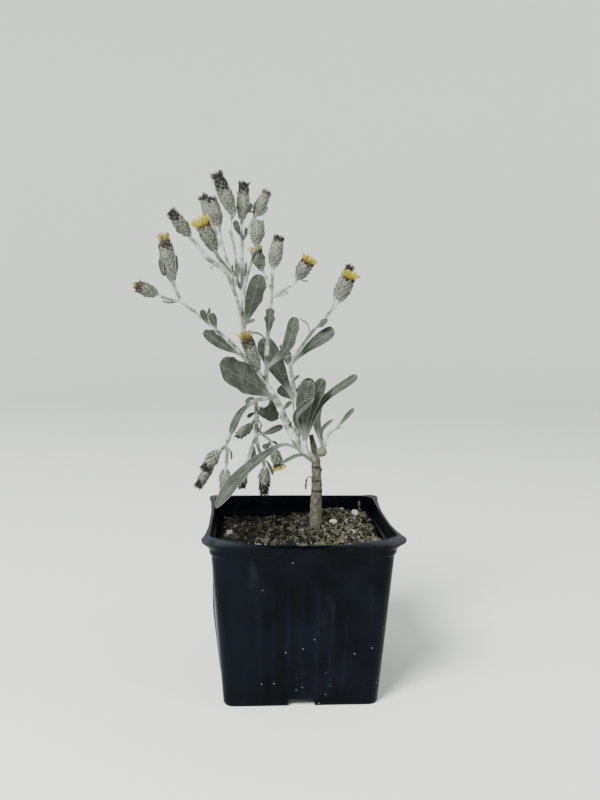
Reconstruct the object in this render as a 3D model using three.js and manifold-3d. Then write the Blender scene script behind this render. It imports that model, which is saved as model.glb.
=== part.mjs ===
// A potted felted daisy shrub in its square nursery pot.
// Millimetres, +Z up, front towards -Y; the origin is the middle of the pot's underside.
import * as THREE from 'three';
import { mergeVertices } from 'three/addons/utils/BufferGeometryUtils.js';
import Module from 'manifold-3d';

const wasm = await Module();
wasm.setup();

// Driving dimensions
const gap = 0.3;
const pot = {
  height: 98,
  bottomHalf: 43.5,
  topHalf: 51.3,
  bottomCorner: 6,
  topCorner: 8,
  wall: 1.2,
  floor: 1.6,
  collarHeight: 10.6,
  collarStep: 1,
  lipHeight: 2.6,
  lipReach: 1.6,
  earReach: 5.6,
  earSpread: 0.4,
  lipSag: [-0.4, 1, 5.2, 1.6],
  bow: [1, 2.8, 1, 1.2],
};
const ribs = { count: 7, pitch: 8.6, radius: 2.4, proud: 0.8, foot: 4, middleTop: 76, outerTop: 62 };
const notch = { width: 15, depth: 12, height: 4.5, holeRadius: 3.5 };
const soilSize = { rim: 83.5, lump: 1.3, clearance: 0.35 };
const blade = { edge: 0.66, rib: 0.95 };
const scales = { around: 6, rows: 4, shortRows: 3, shortLength: 17, flare: 0.13, tuck: 0.9 };
const meshTolerance = 0.01;

const felt = { color: 0x8f9a86, roughness: 0.95 };
const stemFelt = { color: 0xc4c9c0, roughness: 0.95 };
const bark = { color: 0x8a8376, roughness: 0.9 };
const involucre = { color: 0xa3a79b, roughness: 0.95 };
const florets = {
  open: { color: 0xd9b42a, roughness: 0.8 },
  fading: { color: 0x8a7428, roughness: 0.85 },
  spent: { color: 0x3a2c26, roughness: 0.9 },
};

// Small helpers
const vector = ([x, y, z]) => new THREE.Vector3(x, y, z);
const curveThrough = (points) => new THREE.CatmullRomCurve3(points.map(vector), false, 'centripetal');
const smooth = (value, low, high) => THREE.MathUtils.smoothstep(value, low, high);

function seeded(seed) {
  let state = seed;
  return () => {
    state = (state * 16807) % 2147483647;
    return state / 2147483647;
  };
}

const upward = vector([0, 0, 1]);

// The value at t, from 0 to 1, of a list of values spread evenly along a length
function along(values, t) {
  const place = t * (values.length - 1);
  const low = Math.min(Math.floor(place), values.length - 2);
  return THREE.MathUtils.lerp(values[low], values[low + 1], place - low);
}

// Solids, joined and cut
function solidOf(geometry) {
  geometry.deleteAttribute('normal');
  geometry.deleteAttribute('uv');
  const merged = mergeVertices(geometry, 1e-5);
  return new wasm.Manifold(new wasm.Mesh({
    numProp: 3,
    vertProperties: new Float32Array(merged.attributes.position.array),
    triVerts: new Uint32Array(merged.index.array),
  }));
}

function geometryOf(solid) {
  const mesh = solid.getMesh();
  const geometry = new THREE.BufferGeometry();
  geometry.setAttribute('position', new THREE.BufferAttribute(mesh.vertProperties, 3));
  geometry.setIndex(new THREE.BufferAttribute(mesh.triVerts, 1));
  geometry.computeVertexNormals();
  return geometry;
}

const fused = (solids) => solids.reduce((whole, solid) => whole.add(solid));

// The largest connected piece, so that a cut leaves no loose scrap
function largest(solid) {
  const pieces = solid.decompose();
  return pieces.reduce((best, piece) => (piece.volume() > best.volume() ? piece : best));
}

// A closed solid through rings of points that run counterclockwise seen from the last ring
function loft(rings, mirrored = () => false) {
  const sides = rings[0].length;
  const index = [];
  for (let row = 0; row < rings.length - 1; row += 1) {
    for (let side = 0; side < sides; side += 1) {
      const a = row * sides + side;
      const b = row * sides + ((side + 1) % sides);
      const c = b + sides;
      const d = a + sides;
      if (mirrored(side)) index.push(a, b, d, b, c, d);
      else index.push(a, b, c, a, c, d);
    }
  }
  const last = (rings.length - 1) * sides;
  for (let side = 1; side < sides - 1; side += 1) {
    index.push(0, side + 1, side);
    index.push(last, last + side, last + side + 1);
  }
  const geometry = new THREE.BufferGeometry();
  const positions = rings.flat().flatMap((point) => point.toArray());
  geometry.setAttribute('position', new THREE.Float32BufferAttribute(positions, 3));
  geometry.setIndex(index);
  return solidOf(geometry);
}

// A tapering limb along a route; its end face can be turned square to tipAxis
function limb({ points, radii, sides = 5, pitch = 7.5, tipAxis, grow = 0 }) {
  const curve = curveThrough(points);
  const steps = Math.max(2, Math.round(curve.getLength() / pitch));
  const frames = curve.computeFrenetFrames(steps, false);
  const rings = [];
  for (let step = 0; step <= steps; step += 1) {
    const centre = curve.getPointAt(step / steps);
    const radius = along(radii, step / steps) + grow;
    const turn = new THREE.Quaternion();
    if (step === steps && tipAxis) turn.setFromUnitVectors(frames.tangents[step], tipAxis);
    if (step === steps) centre.addScaledVector(tipAxis ?? frames.tangents[step], grow);
    const across = frames.normals[step].clone().applyQuaternion(turn);
    const up = frames.binormals[step].clone().applyQuaternion(turn);
    const ring = [];
    for (let side = 0; side < sides; side += 1) {
      const angle = (2 * Math.PI * side) / sides;
      const point = centre.clone().addScaledVector(across, radius * Math.cos(angle));
      ring.push(point.addScaledVector(up, radius * Math.sin(angle)));
    }
    rings.push(ring);
  }
  return loft(rings);
}

// The share of its full width that a spoon-shaped blade has at t
function bladeShare(t, { neck, broad, tip }) {
  if (t < broad) return neck + (1 - neck) * smooth(t, 0.06, broad);
  const past = (t - broad) / (1 - broad);
  return Math.sqrt(1 - (1 - tip * tip) * past * past);
}

// A felted leaf: an arched blade with a thicker rib, cut or waved along its edges
function leaf(shape) {
  const {
    points, width, face, neck = 0.2, broad = 0.68, tip = 0.45, cup = 0.12,
    teeth = [0, 0], wave = 0, rows = width > 6.5 ? 8 : 4, edge = blade.edge,
  } = shape;
  const curve = curveThrough(points);
  const wide = width > 3;
  const upper = vector(face).normalize();
  const rings = [];
  for (let row = 0; row <= rows; row += 1) {
    const t = 1 - (1 - row / rows) ** 1.25;
    const centre = curve.getPointAt(t);
    const ahead = curve.getTangentAt(t);
    const side = upper.clone().cross(ahead).normalize();
    const out = ahead.clone().cross(side).normalize();
    const half = Math.max(0.45, (width / 2) * bladeShare(t, { neck, broad, tip }));
    const cut = row % 2 === 0 ? 1 : -0.5;
    const toothed = t > 0.5 && row < rows;
    const halves = teeth.map((depth) => half + (toothed ? depth * cut : 0));
    const rise = cup * half;
    const ripple = wave * Math.sin(row * 1.9) * smooth(t, 0.3, 0.6);
    const thick = edge / 2;
    const rib = Math.max(thick, (blade.rib / 2) * (edge / blade.edge));
    const at = (across, above) => centre.clone().addScaledVector(side, across).addScaledVector(out, above);
    const ring = [at(halves[0], rise + ripple + thick)];
    if (wide) ring.push(at(0, rib));
    ring.push(at(-halves[1], rise - ripple + thick));
    ring.push(at(-halves[1], rise - ripple - thick));
    if (wide) ring.push(at(0, -rib));
    ring.push(at(halves[0], rise + ripple - thick));
    rings.push(ring);
  }
  return loft(rings, wide ? (side) => side > 2 : (side) => side > 1);
}

// Flower heads: where each one sits on its stalk, where its tip is, and how far it has opened
const heads = {
  head_01: { base: [-39.5, 4, 273.5], top: [-50.5, 2, 298.5], width: 8.4, bloom: 'spent' },
  head_02: {
    base: [-35, 10, 271], top: [-34, 12, 295], width: 7.4, bloom: 'spent',
    bracts: [{ points: [[-32, 9, 276.5], [-29.6, 8, 281.5]], width: 3, face: [0.4, -0.8, 0.2] }],
  },
  head_03: {
    base: [-27.5, 17, 274.5], top: [-19.5, 22, 291], width: 7.2, bloom: 'spent',
    bracts: [
      { points: [[-24, 16, 275.6], [-19.8, 17, 280.5]], width: 2.4, face: [-0.3, -0.9, 0.3] },
      { points: [[-30, 16.5, 277.5], [-30.4, 17, 282]], width: 1.6, face: [-0.8, -0.6, 0] },
    ],
  },
  head_04: { base: [-48.5, 16, 268], top: [-53.5, 19, 286.5], width: 7.4, bloom: 'spent' },
  head_05: { base: [-52, 24.5, 269.5], top: [-59.5, 32, 289], width: 6.8, bloom: 'spent' },
  head_06: { base: [-64, -8, 260], top: [-75.5, -12, 274.5], width: 7.6, bloom: 'spent' },
  head_07: { base: [-49.5, -6, 252], top: [-59, -12, 270.5], width: 9, bloom: 'open' },
  head_08: { base: [-27, 0, 256], top: [-25.5, 0, 271.5], width: 8, bloom: 'bud' },
  head_09: { base: [-23, 8, 242.5], top: [-27.5, 9, 257], width: 7, bloom: 'open' },
  head_10: { base: [-17, -2, 243.5], top: [-13.5, 0, 263], width: 8.4, bloom: 'spent' },
  head_11: {
    base: [-3.5, -9, 237], top: [4, -14, 250], width: 8, bloom: 'open',
    bracts: [{ points: [[-1, -12, 236.6], [2.5, -13, 236]], width: 1.6, face: [0, -0.5, 0.8] }],
  },
  head_12: { base: [21.5, -3, 225], top: [28, -8, 242.5], width: 8, bloom: 'open' },
  head_13: { base: [19.5, 3, 226.5], top: [29.5, 9, 247.5], width: 6.4, bloom: 'spent' },
  head_14: {
    base: [-73, -16, 234], top: [-78, -20, 261], width: 8.6, bloom: 'fading',
    bracts: [
      { points: [[-77.5, -19, 238.5], [-79.4, -21, 247]], width: 4, face: [-0.7, -0.7, 0.1] },
      { points: [[-71, -18.5, 240], [-71, -20.5, 249]], width: 2.6, face: [0.8, -0.6, 0] },
    ],
  },
  head_15: { base: [-81, -18, 227.5], top: [-93.5, -26, 232.5], width: 7.4, bloom: 'fading' },
  head_16: { base: [-25, -5, 184], top: [-33.5, -12, 207.5], width: 8.4, bloom: 'fading' },
  head_17: { base: [-5.5, 14, 186.5], top: [-10.5, 14, 200], width: 5.5, bloom: 'spent' },
  head_18: { base: [-48.5, 14, 134.5], top: [-57.5, 8, 122.5], width: 8, bloom: 'spent' },
  head_19: { base: [-52, 20, 126.5], top: [-62, 22, 109], width: 6.6, bloom: 'spent' },
  head_20: { base: [-44, 15, 124], top: [-45, 13, 107.5], width: 7, bloom: 'spent' },
  head_21: { base: [-27.5, 24, 150], top: [-37.5, 28, 140.5], width: 5.8, bloom: 'bud' },
  head_22: { base: [-20, 24, 123], top: [-20.5, 26, 103.5], width: 7.6, bloom: 'spent' },
  head_23: { base: [-15, 24, 135], top: [-10.5, 22, 120.5], width: 6.8, bloom: 'open' },
  head_24: { base: [-33, 14, 124], top: [-34.5, 13, 110.5], width: 6, bloom: 'spent' },
};

// Leafy stems in the order they branch; each one is rooted on the stem named in grows
const stems = {
  left_stem: {
    grows: 'trunk',
    limbs: [
      {
        points: [[8.5, 8, 129.5], [4.5, 7, 134], [-0.5, 6, 139.5], [-5.5, 5, 148.5], [-9.5, 4, 156.5],
          [-13, 3, 164.5], [-17.5, 2, 172], [-21.5, 2, 178.5], [-23.5, 3, 181]],
        radii: [2.4, 2.8, 2.7, 2.5, 2.4, 2.2, 2.1, 1.8, 1.5],
        sides: 8,
      },
      { points: [[-21, 0, 175.5], [-23, -2, 179.5], [-25, -5, 184]], radii: [1.2, 1], head: 'head_16' },
    ],
    leaves: [
      {
        points: [[-14.5, 2, 166.5], [-28.5, -10, 177.5], [-47, -24, 188.5]],
        width: 19, face: [-0.2, -0.8, 0.55], neck: 0.13, broad: 0.62, tip: 0.55, teeth: [0.2, 0.7],
        wave: 0.5, rows: 11,
      },
      { points: [[-10, 4, 159.5], [-8, 2, 163.5], [-5, 0, 166.5]], width: 2.8, face: [0, -0.9, 0.3] },
      { points: [[-7, 4, 150], [-6, 2, 152.5], [-5.5, 0, 154.5]], width: 2.5, face: [0.5, -0.8, 0] },
      {
        points: [[2, 6, 135], [-9.5, 2, 140], [-22.5, -5, 133.5], [-35, -9, 123], [-49, -11, 105]],
        width: 10, face: [-0.4, -0.6, 0.7], neck: 0.22, broad: 0.72, tip: 0.2, cup: 0.3, wave: 0.4,
      },
      {
        points: [[8.5, 6, 126.5], [0.5, 3, 133.5], [-11, 0, 129]],
        width: 3, face: [-0.3, -0.6, 0.7], cup: 0.5,
      },
    ],
  },
  tall_stem: {
    grows: 'left_stem',
    limbs: [
      {
        points: [[-23.5, 3, 181], [-28.5, 5, 189.5], [-32, 7, 199], [-34, 7, 209], [-34, 8, 220.5],
          [-34.5, 8, 234], [-35, 8, 247.5], [-35, 9, 261.5]],
        radii: [1.4, 1.5, 1.4, 1.3, 1.1],
      },
      { points: [[-35, 9, 260], [-35.5, 9, 266], [-35, 10, 271]], radii: [1, 1.1], head: 'head_02' },
      {
        points: [[-35, 8, 229], [-38, 9, 237], [-38.5, 8, 247.5], [-39.5, 7, 256], [-41, 6, 262],
          [-42, 5, 267], [-41.5, 4.5, 271.5], [-39.5, 4, 273.5]],
        radii: [0.9, 0.9, 1.1],
        head: 'head_01',
      },
      {
        points: [[-34.5, 9, 260], [-32, 11, 264.5], [-30, 14, 269], [-27.5, 17, 274.5]],
        radii: [0.9, 1], head: 'head_03',
      },
      {
        points: [[-36, 9, 230], [-39, 11, 240], [-43, 13, 246.5], [-46, 15, 255], [-48, 16, 263],
          [-48.5, 16, 268]],
        radii: [1, 1, 1.1],
        head: 'head_04',
      },
      { points: [[-46, 15, 255], [-49.5, 20, 262], [-52, 24.5, 269.5]], radii: [0.9, 1], head: 'head_05' },
      {
        points: [[-36, 8, 231], [-40, 4, 239.5], [-44.5, 0, 245], [-48, -4, 248.5], [-49.5, -6, 252]],
        radii: [1, 1, 1.2],
        head: 'head_07',
      },
      {
        points: [[-34, 7, 210.5], [-37, 4, 223.5], [-40.5, 2, 233], [-44, -1, 240.5], [-48.5, -3, 244.5],
          [-54.5, -5, 248.5], [-59.5, -7, 254.5], [-64, -8, 260]],
        radii: [1, 1.1, 1.4, 1.5, 1.1],
        head: 'head_06',
      },
      {
        points: [[-34, 8, 224], [-33, 5, 233.5], [-31, 2, 242.5], [-28.5, 1, 250], [-27, 0, 256]],
        radii: [0.9, 1.1], head: 'head_08',
      },
    ],
    leaves: [
      {
        points: [[-33.5, 5, 208.5], [-29, 0, 223.5], [-24.5, -5, 240]],
        width: 10.4, face: [0.2, -0.95, 0.2], neck: 0.24, teeth: [0, 0.6], tip: 0.5,
      },
      { points: [[-31.5, 4, 210.5], [-29.5, 3, 213], [-27, 2, 214]], width: 2.4, face: [0, -0.9, 0.4] },
      { points: [[-35, 8, 261], [-37.5, 5, 266], [-39, 3, 271]], width: 4, face: [-0.4, -0.9, 0.2] },
      { points: [[-34, 9, 261.5], [-33, 8, 264], [-32.5, 7, 267.5]], width: 2.2, face: [0.2, -0.9, 0] },
      { points: [[-40, 4, 240], [-44, -1, 244.5], [-48, -3, 247]], width: 2.6, face: [0.5, -0.4, 0.8] },
      { points: [[-39, 6, 231], [-40, 6, 238.5], [-40.5, 5, 246]], width: 1.6, face: [-0.5, -0.8, 0] },
      { points: [[-37, 4, 232], [-37, 3, 239.5], [-37, 2, 247]], width: 1.6, face: [0, -1, 0.1] },
      { points: [[-33.5, 4, 234.5], [-33, 2, 241.5], [-32.5, 1, 247]], width: 1.8, face: [0.3, -1, 0.1] },
      { points: [[-30, 2, 245], [-28.5, -1, 250], [-26, -2, 254]], width: 2.5, face: [0.6, -0.8, 0] },
      { points: [[-51, -3, 244], [-52, -5, 243], [-53, -7, 243]], width: 1.5, face: [0, -0.3, -1] },
    ],
  },
  long_left_stem: {
    grows: 'left_stem',
    limbs: [
      {
        points: [[-22.5, 1, 179], [-28.5, -1, 186.5], [-34, -3, 193], [-40.5, -6, 200.5], [-47, -8, 206],
          [-54.5, -10, 212.5], [-61, -12, 218], [-67.5, -14, 223], [-71, -15, 229], [-73, -16, 234]],
        radii: [1.4, 1.3, 1.2, 1, 0.9, 1.1],
        head: 'head_14',
      },
      {
        points: [[-68.5, -14, 224], [-74, -16, 224.5], [-78.5, -17, 226], [-81, -18, 227.5]],
        radii: [0.8, 1], head: 'head_15',
      },
    ],
    leaves: [
      {
        points: [[-34, -3, 193], [-44, -8, 198.5], [-56.5, -13, 207]],
        width: 8, face: [0.2, -0.8, 0.5], neck: 0.22, teeth: [0, 0.8],
      },
      {
        points: [[-49, -8, 207.5], [-50.5, -10, 212.5], [-52.5, -12, 217.5]],
        width: 5, face: [0.2, -0.9, 0.3],
      },
      {
        points: [[-53, -10, 211.5], [-55.5, -12, 215], [-57, -14, 219.5]],
        width: 4, face: [-0.3, -0.9, 0.2],
      },
      { points: [[-54, -10, 212], [-54, -8, 216], [-53, -6, 220.5]], width: 2, face: [0.4, -0.9, 0] },
      { points: [[-69, -14, 223], [-74.5, -15, 223], [-79, -15, 224]], width: 1.6, face: [0, -0.5, -0.9] },
    ],
  },
  centre_stem: {
    grows: 'left_stem',
    limbs: [
      {
        points: [[-20.5, 2, 176.5], [-20, 1, 184.5], [-20, -1, 196.5], [-19.5, -3, 208], [-18.5, -4, 219],
          [-17.5, -4, 227]],
        radii: [1.3, 1.5, 1.4, 1.2, 1],
      },
      {
        points: [[-17.5, -4, 226], [-17.5, -3, 234.5], [-17, -2, 243.5]],
        radii: [0.9, 1.1], head: 'head_10',
      },
      {
        points: [[-17.5, -4, 226.5], [-11.5, -6, 230.5], [-7, -8, 234], [-3.5, -9, 237]],
        radii: [0.8, 0.8, 1.1], head: 'head_11',
      },
      {
        points: [[-18, -4, 230], [-19, 1, 234.5], [-21, 5, 239], [-23, 8, 242.5]],
        radii: [0.8, 1], head: 'head_09',
      },
      { points: [[-16.5, -4, 227], [-12.5, -6, 228], [-8.5, -7, 230]], radii: [0.6, 0.5, 1] },
    ],
    leaves: [
      {
        points: [[-19.5, -3, 203.5], [-19, -6, 212], [-18.5, -8, 221]],
        width: 5.4, face: [0, -1, 0.2], teeth: [0.7, 0.7], rows: 7, neck: 0.35,
      },
      { points: [[-20.5, -2, 202.5], [-25, -5, 206], [-29, -8, 206.5]], width: 2.5, face: [0, -0.6, 0.8] },
      {
        points: [[-20, 0, 185.5], [-9, -5, 198], [-4, -8, 216]],
        width: 7.5, face: [-0.3, -0.9, 0], neck: 0.3, broad: 0.75, tip: 0.6, teeth: [0, 0.5], wave: 0.4,
      },
    ],
  },
  right_stem: {
    grows: 'left_stem',
    limbs: [
      {
        points: [[0, 7, 139.5], [-1.5, 8, 150.5], [-2, 9, 163], [-4, 9, 176], [-6, 8, 188]],
        radii: [1.6, 1.7, 1.6, 1.5, 1.3],
      },
      {
        points: [[-6, 8, 186.5], [-2, 6, 195], [3, 4, 202], [7, 2, 208], [11.5, 0, 213], [15.5, -1, 218],
          [18.5, -2, 222], [21.5, -3, 225]],
        radii: [1.2, 1.1, 0.9, 1.1],
        head: 'head_12',
      },
      { points: [[16.5, -1, 219], [18.5, 1, 223], [19.5, 3, 226.5]], radii: [0.8, 0.9], head: 'head_13' },
      { points: [[-4.5, 10, 176], [-5, 12, 180.5], [-5.5, 14, 186.5]], radii: [0.9, 0.9], head: 'head_17' },
    ],
    leaves: [
      {
        points: [[-2, 10, 164.5], [-12.5, 12, 183.5], [-23, 10, 203]],
        width: 12, face: [0, -0.95, 0.3], neck: 0.2, broad: 0.72, tip: 0.6, wave: 0.3,
      },
      {
        points: [[-5.5, 8, 188.5], [6, 3, 199], [19, -4, 208.5]],
        width: 10, face: [-0.2, -0.75, 0.6], neck: 0.2, broad: 0.78, tip: 0.6,
      },
      {
        points: [[7, 2, 208.5], [11, -1, 211.5], [15, -5, 214.5]],
        width: 4.5, face: [-0.3, -0.8, 0.5], teeth: [0.5, 0.5],
      },
      { points: [[5.5, 3, 205.5], [3.5, 5, 212], [-1, 7, 215]], width: 1.8, face: [0.5, -0.3, 0.8] },
      { points: [[-6.5, 7, 188.5], [-8.5, 5, 192], [-6.5, 3, 193.5]], width: 2, face: [-0.4, -0.5, 0.8] },
      { points: [[-4, 8, 176], [-3, 6, 179], [-0.5, 3, 181.5]], width: 2.5, face: [0, -0.8, 0.6] },
      { points: [[-3, 10, 165], [-7.5, 14, 169.5], [-12.5, 17, 173]], width: 7, face: [-0.2, -0.8, 0.5] },
    ],
  },
  rosette: {
    grows: 'left_stem',
    limbs: [{ points: [[4.5, 7, 134], [3.5, 6, 139], [3, 5.5, 144]], radii: [1.5, 1.7, 1.2] }],
    leaves: [
      {
        points: [[-1, 5, 143], [-2, 0, 157], [7.5, -5, 168.5]],
        width: 4.5, face: [-0.5, -0.8, 0.2], cup: 0.9, neck: 0.4,
      },
      {
        points: [[0.5, 5, 141], [1.5, -1, 161.5], [4.5, -6, 179]],
        width: 10, face: [0, -0.9, 0.35], neck: 0.28, broad: 0.74, tip: 0.7,
      },
      {
        points: [[1, 8, 141.5], [0, 13, 164], [7.5, 13, 179]],
        width: 9, face: [0.1, -0.9, 0.3], neck: 0.3, broad: 0.74, tip: 0.65,
      },
      {
        points: [[2, 5, 141.5], [7, 1.5, 164], [13, -5, 180.5]],
        width: 8, face: [-0.2, -0.9, 0.3], neck: 0.24, broad: 0.74, tip: 0.65, teeth: [0, 0.3],
      },
      {
        points: [[3, 7, 141.5], [13, 4, 165], [32.5, -8, 182.5]],
        width: 6, face: [-0.4, -0.75, 0.45], neck: 0.36, broad: 0.84, tip: 0.6,
      },
    ],
  },
  right_shoot: {
    grows: 'trunk',
    limbs: [
      {
        points: [[14.5, 8, 136], [16, 7, 143], [19, 6, 147.5], [23, 5, 150], [26.5, 4, 150.5]],
        radii: [1.6, 1.5, 1.2, 0.8, 0.5],
      },
    ],
    leaves: [
      {
        points: [[12.5, 8, 138], [10, 10, 157.5], [13.5, 7, 172]],
        width: 7, face: [0, 0.9, -0.3], neck: 0.4, tip: 0.6,
      },
      {
        points: [[13.5, 8, 137.5], [14, 6, 148.5], [20, 3, 155.5]],
        width: 2.6, face: [-0.6, -0.7, 0.2], cup: 0.4, neck: 0.6,
      },
      {
        points: [[22.5, 5, 149.5], [27.5, 2, 156.5], [32, -1, 162.5]],
        width: 3.2, face: [-0.5, -0.8, 0.2], cup: 0.6, neck: 0.4,
      },
    ],
  },
  hanging_spray: {
    grows: 'left_stem',
    limbs: [
      {
        points: [[-15.5, 4, 168.5], [-20, 10, 167], [-25, 15, 165.5], [-27, 17, 164.5]],
        radii: [1.5, 1.4, 1.3],
      },
      {
        points: [[-25, 15, 165.5], [-30, 17, 162], [-35.5, 17, 156.5], [-39, 16, 150], [-42, 15, 142.5],
          [-44.5, 15, 138]],
        radii: [1, 1, 1.2, 1.3],
      },
      {
        points: [[-44.5, 15, 138.5], [-47, 14.5, 136], [-48.5, 14, 134.5]],
        radii: [1.2, 1.2], head: 'head_18',
      },
      {
        points: [[-44, 16, 139], [-47, 19, 133.5], [-50, 20, 129], [-52, 20, 126.5]],
        radii: [1, 1], head: 'head_19',
      },
      {
        points: [[-44.5, 15, 138.5], [-43.5, 15, 133.5], [-43.5, 15, 128.5], [-44, 15, 124]],
        radii: [1.2, 1.1], head: 'head_20',
      },
      {
        points: [[-26, 16, 164.5], [-25.5, 20, 157.5], [-25.5, 22, 150], [-25.5, 23, 141], [-24, 24, 134.5],
          [-22, 24, 129], [-20, 24, 123]],
        radii: [1.2, 1.5, 1.5, 1.2, 1.1],
        head: 'head_22',
      },
      {
        points: [[-25.5, 20, 157.5], [-26, 23, 153.5], [-27.5, 24, 150]],
        radii: [0.9, 0.9], head: 'head_21',
      },
      {
        points: [[-25.5, 23, 142], [-27.5, 21, 138], [-29.5, 18, 133], [-31, 15, 128], [-33, 14, 124]],
        radii: [1, 0.9], head: 'head_24',
      },
      {
        points: [[-25.5, 22, 147.5], [-20.5, 25, 142], [-17, 25, 139], [-15, 24, 135]],
        radii: [0.9, 1], head: 'head_23',
      },
    ],
    leaves: [
      {
        points: [[-16.5, 6, 168.5], [-17.5, 14, 160.5], [-19.5, 18, 153]],
        width: 13, face: [0.1, -0.8, 0.5], teeth: [0.8, 0.8], wave: 0.9,
      },
      {
        points: [[-25, 15, 166], [-34, 13, 159], [-41, 11, 145]],
        width: 6, face: [-0.5, -0.7, 0.5], neck: 0.35, cup: 0.3,
      },
      { points: [[-25, 15, 166.5], [-29, 18, 165.5], [-32, 21, 161.5]], width: 5, face: [0, -0.7, 0.7] },
      {
        points: [[-25, 22, 142.5], [-17, 20, 145], [-9, 16, 149]],
        width: 5, face: [0, -0.8, 0.6], cup: 0.5,
      },
      {
        points: [[-21, 19, 153.5], [-22.5, 20, 149.5], [-24, 21, 145.5]],
        width: 1.4, face: [-0.7, -0.7, 0],
      },
      { points: [[-26, 20, 157.5], [-28.5, 17, 156.5], [-31, 15, 154.5]], width: 3, face: [0, -0.6, 0.8] },
      { points: [[-42, 14, 137.5], [-41, 12, 134], [-40.5, 11, 129.5]], width: 1.8, face: [0.6, -0.7, 0] },
      { points: [[-27, 20, 139], [-27, 16, 133.5], [-28.5, 13, 127.5]], width: 3.5, face: [0.4, -0.9, 0] },
      { points: [[-16.5, 25, 139], [-18, 22, 137], [-21.5, 19, 135]], width: 4, face: [0, -0.7, 0.6] },
      { points: [[-16.5, 25, 139], [-14.5, 26, 138], [-12, 27, 136]], width: 2, face: [0, -0.7, 0.6] },
      { points: [[-22, 24, 129], [-18, 21, 125], [-15, 19, 118.5]], width: 3, face: [0.7, -0.7, 0.2] },
    ],
  },
};

// Pot: thin walls that taper, a collar, a lip drawn out into ears, ribs and foot notches
const halfAt = (z) => THREE.MathUtils.lerp(pot.bottomHalf, pot.topHalf, z / pot.height);
const cornerAt = (z) => THREE.MathUtils.lerp(pot.bottomCorner, pot.topCorner, z / pot.height);
const bowLevel = pot.height * 0.48;
const collarLevel = pot.height - pot.collarHeight;

// The share of the full bow at a height, straight between the foot, the middle and the collar
function bowShare(z) {
  if (z < bowLevel) return Math.max(0, z / bowLevel);
  return Math.max(0, 1 - (z - bowLevel) / (collarLevel - bowLevel));
}

// One level of the square: corner arcs with two points between them on each side
function squareRing({ z, half = halfAt(z), corner = cornerAt(z), ear = 0, sags = 0 }) {
  const ring = [];
  const arcSteps = 3;
  const sideSteps = 3;
  const flat = half - corner;
  for (let side = 0; side < 4; side += 1) {
    const spin = (side * Math.PI) / 2;
    const place = (x, y, height) => ring.push(vector([x, y, height]).applyAxisAngle(upward, spin));
    for (let step = 0; step <= arcSteps; step += 1) {
      const turn = (step / arcSteps) * (Math.PI / 2);
      const drawn = pot.earSpread + (1 - pot.earSpread) * Math.sin(2 * turn);
      const flare = ear * Math.SQRT1_2 * drawn;
      place(flat + corner * Math.cos(turn) + flare, flat + corner * Math.sin(turn) + flare, z);
    }
    for (let step = 1; step < sideSteps; step += 1) {
      const t = step / sideSteps;
      const swell = 1 - (2 * t - 1) ** 2;
      const out = half + pot.bow[side] * bowShare(z) * swell;
      place(flat * (1 - 2 * t), out, z - sags * pot.lipSag[side] * swell);
    }
  }
  return ring;
}

// A ridge on the wall of one side, fading out at both ends
function wallRib(side, across, top) {
  const width = ribs.radius;
  const rows = [[ribs.foot, -0.4], [bowLevel, ribs.proud], [top - 7, ribs.proud], [top, -0.4]];
  const rings = rows.map(([z, proud]) => {
    const taper = halfAt(z) / pot.topHalf;
    const t = 0.5 - (across * taper) / (2 * (halfAt(z) - cornerAt(z)));
    const thirds = Math.min(Math.min(t, 1 - t) * 3, 1);
    const wall = halfAt(z) + pot.bow[side] * bowShare(z) * (8 / 9) * thirds;
    const inner = wall - pot.wall * 0.6;
    const middle = across * taper;
    const ring = [[middle + width, inner, z], [middle, wall + proud, z], [middle - width, inner, z]];
    return ring.map((point) => vector(point).applyAxisAngle(upward, (side * Math.PI) / 2));
  });
  return loft(rings);
}

function wallRibs() {
  const middle = (ribs.count - 1) / 2;
  const all = [];
  for (let side = 0; side < 4; side += 1) {
    for (let rib = 0; rib < ribs.count; rib += 1) {
      const place = rib - middle;
      const top = THREE.MathUtils.lerp(ribs.middleTop, ribs.outerTop, Math.abs(place / middle) ** 1.6);
      all.push(wallRib(side, place * ribs.pitch, top));
    }
  }
  return all;
}

// The four foot notches, or the same blocks grown by a wall's thickness
function notchBlocks(grow) {
  return [0, 1, 2, 3].map((side) => {
    const reach = notch.depth + grow + 5;
    const block = new THREE.BoxGeometry(notch.width + 2 * grow, reach, notch.height + grow + 5);
    const middle = pot.bottomHalf - notch.depth - grow + reach / 2;
    block.translate(0, middle, (notch.height + grow - 5) / 2);
    block.rotateZ((side * Math.PI) / 2);
    return solidOf(block);
  });
}

function drainHoles() {
  return [0, 1, 2, 3].map((side) => {
    const hole = new THREE.CylinderGeometry(notch.holeRadius, notch.holeRadius, 20, 8);
    hole.rotateX(Math.PI / 2);
    hole.translate(0, pot.bottomHalf - notch.depth / 2, 0);
    hole.rotateZ((side * Math.PI) / 2);
    return solidOf(hole);
  });
}

// One level of the hollow inside the pot, drawn in by a clearance
function hollowRing(z, clearance = 0) {
  const inset = pot.wall + clearance - (z > collarLevel ? pot.collarStep : 0);
  return squareRing({ z, half: halfAt(z) - inset, corner: cornerAt(z) - inset });
}

function potHollow() {
  const levels = [pot.floor, bowLevel, collarLevel, collarLevel + pot.collarStep, pot.height + 4];
  return loft(levels.map((z) => hollowRing(z))).subtract(fused(notchBlocks(pot.wall)));
}

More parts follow.
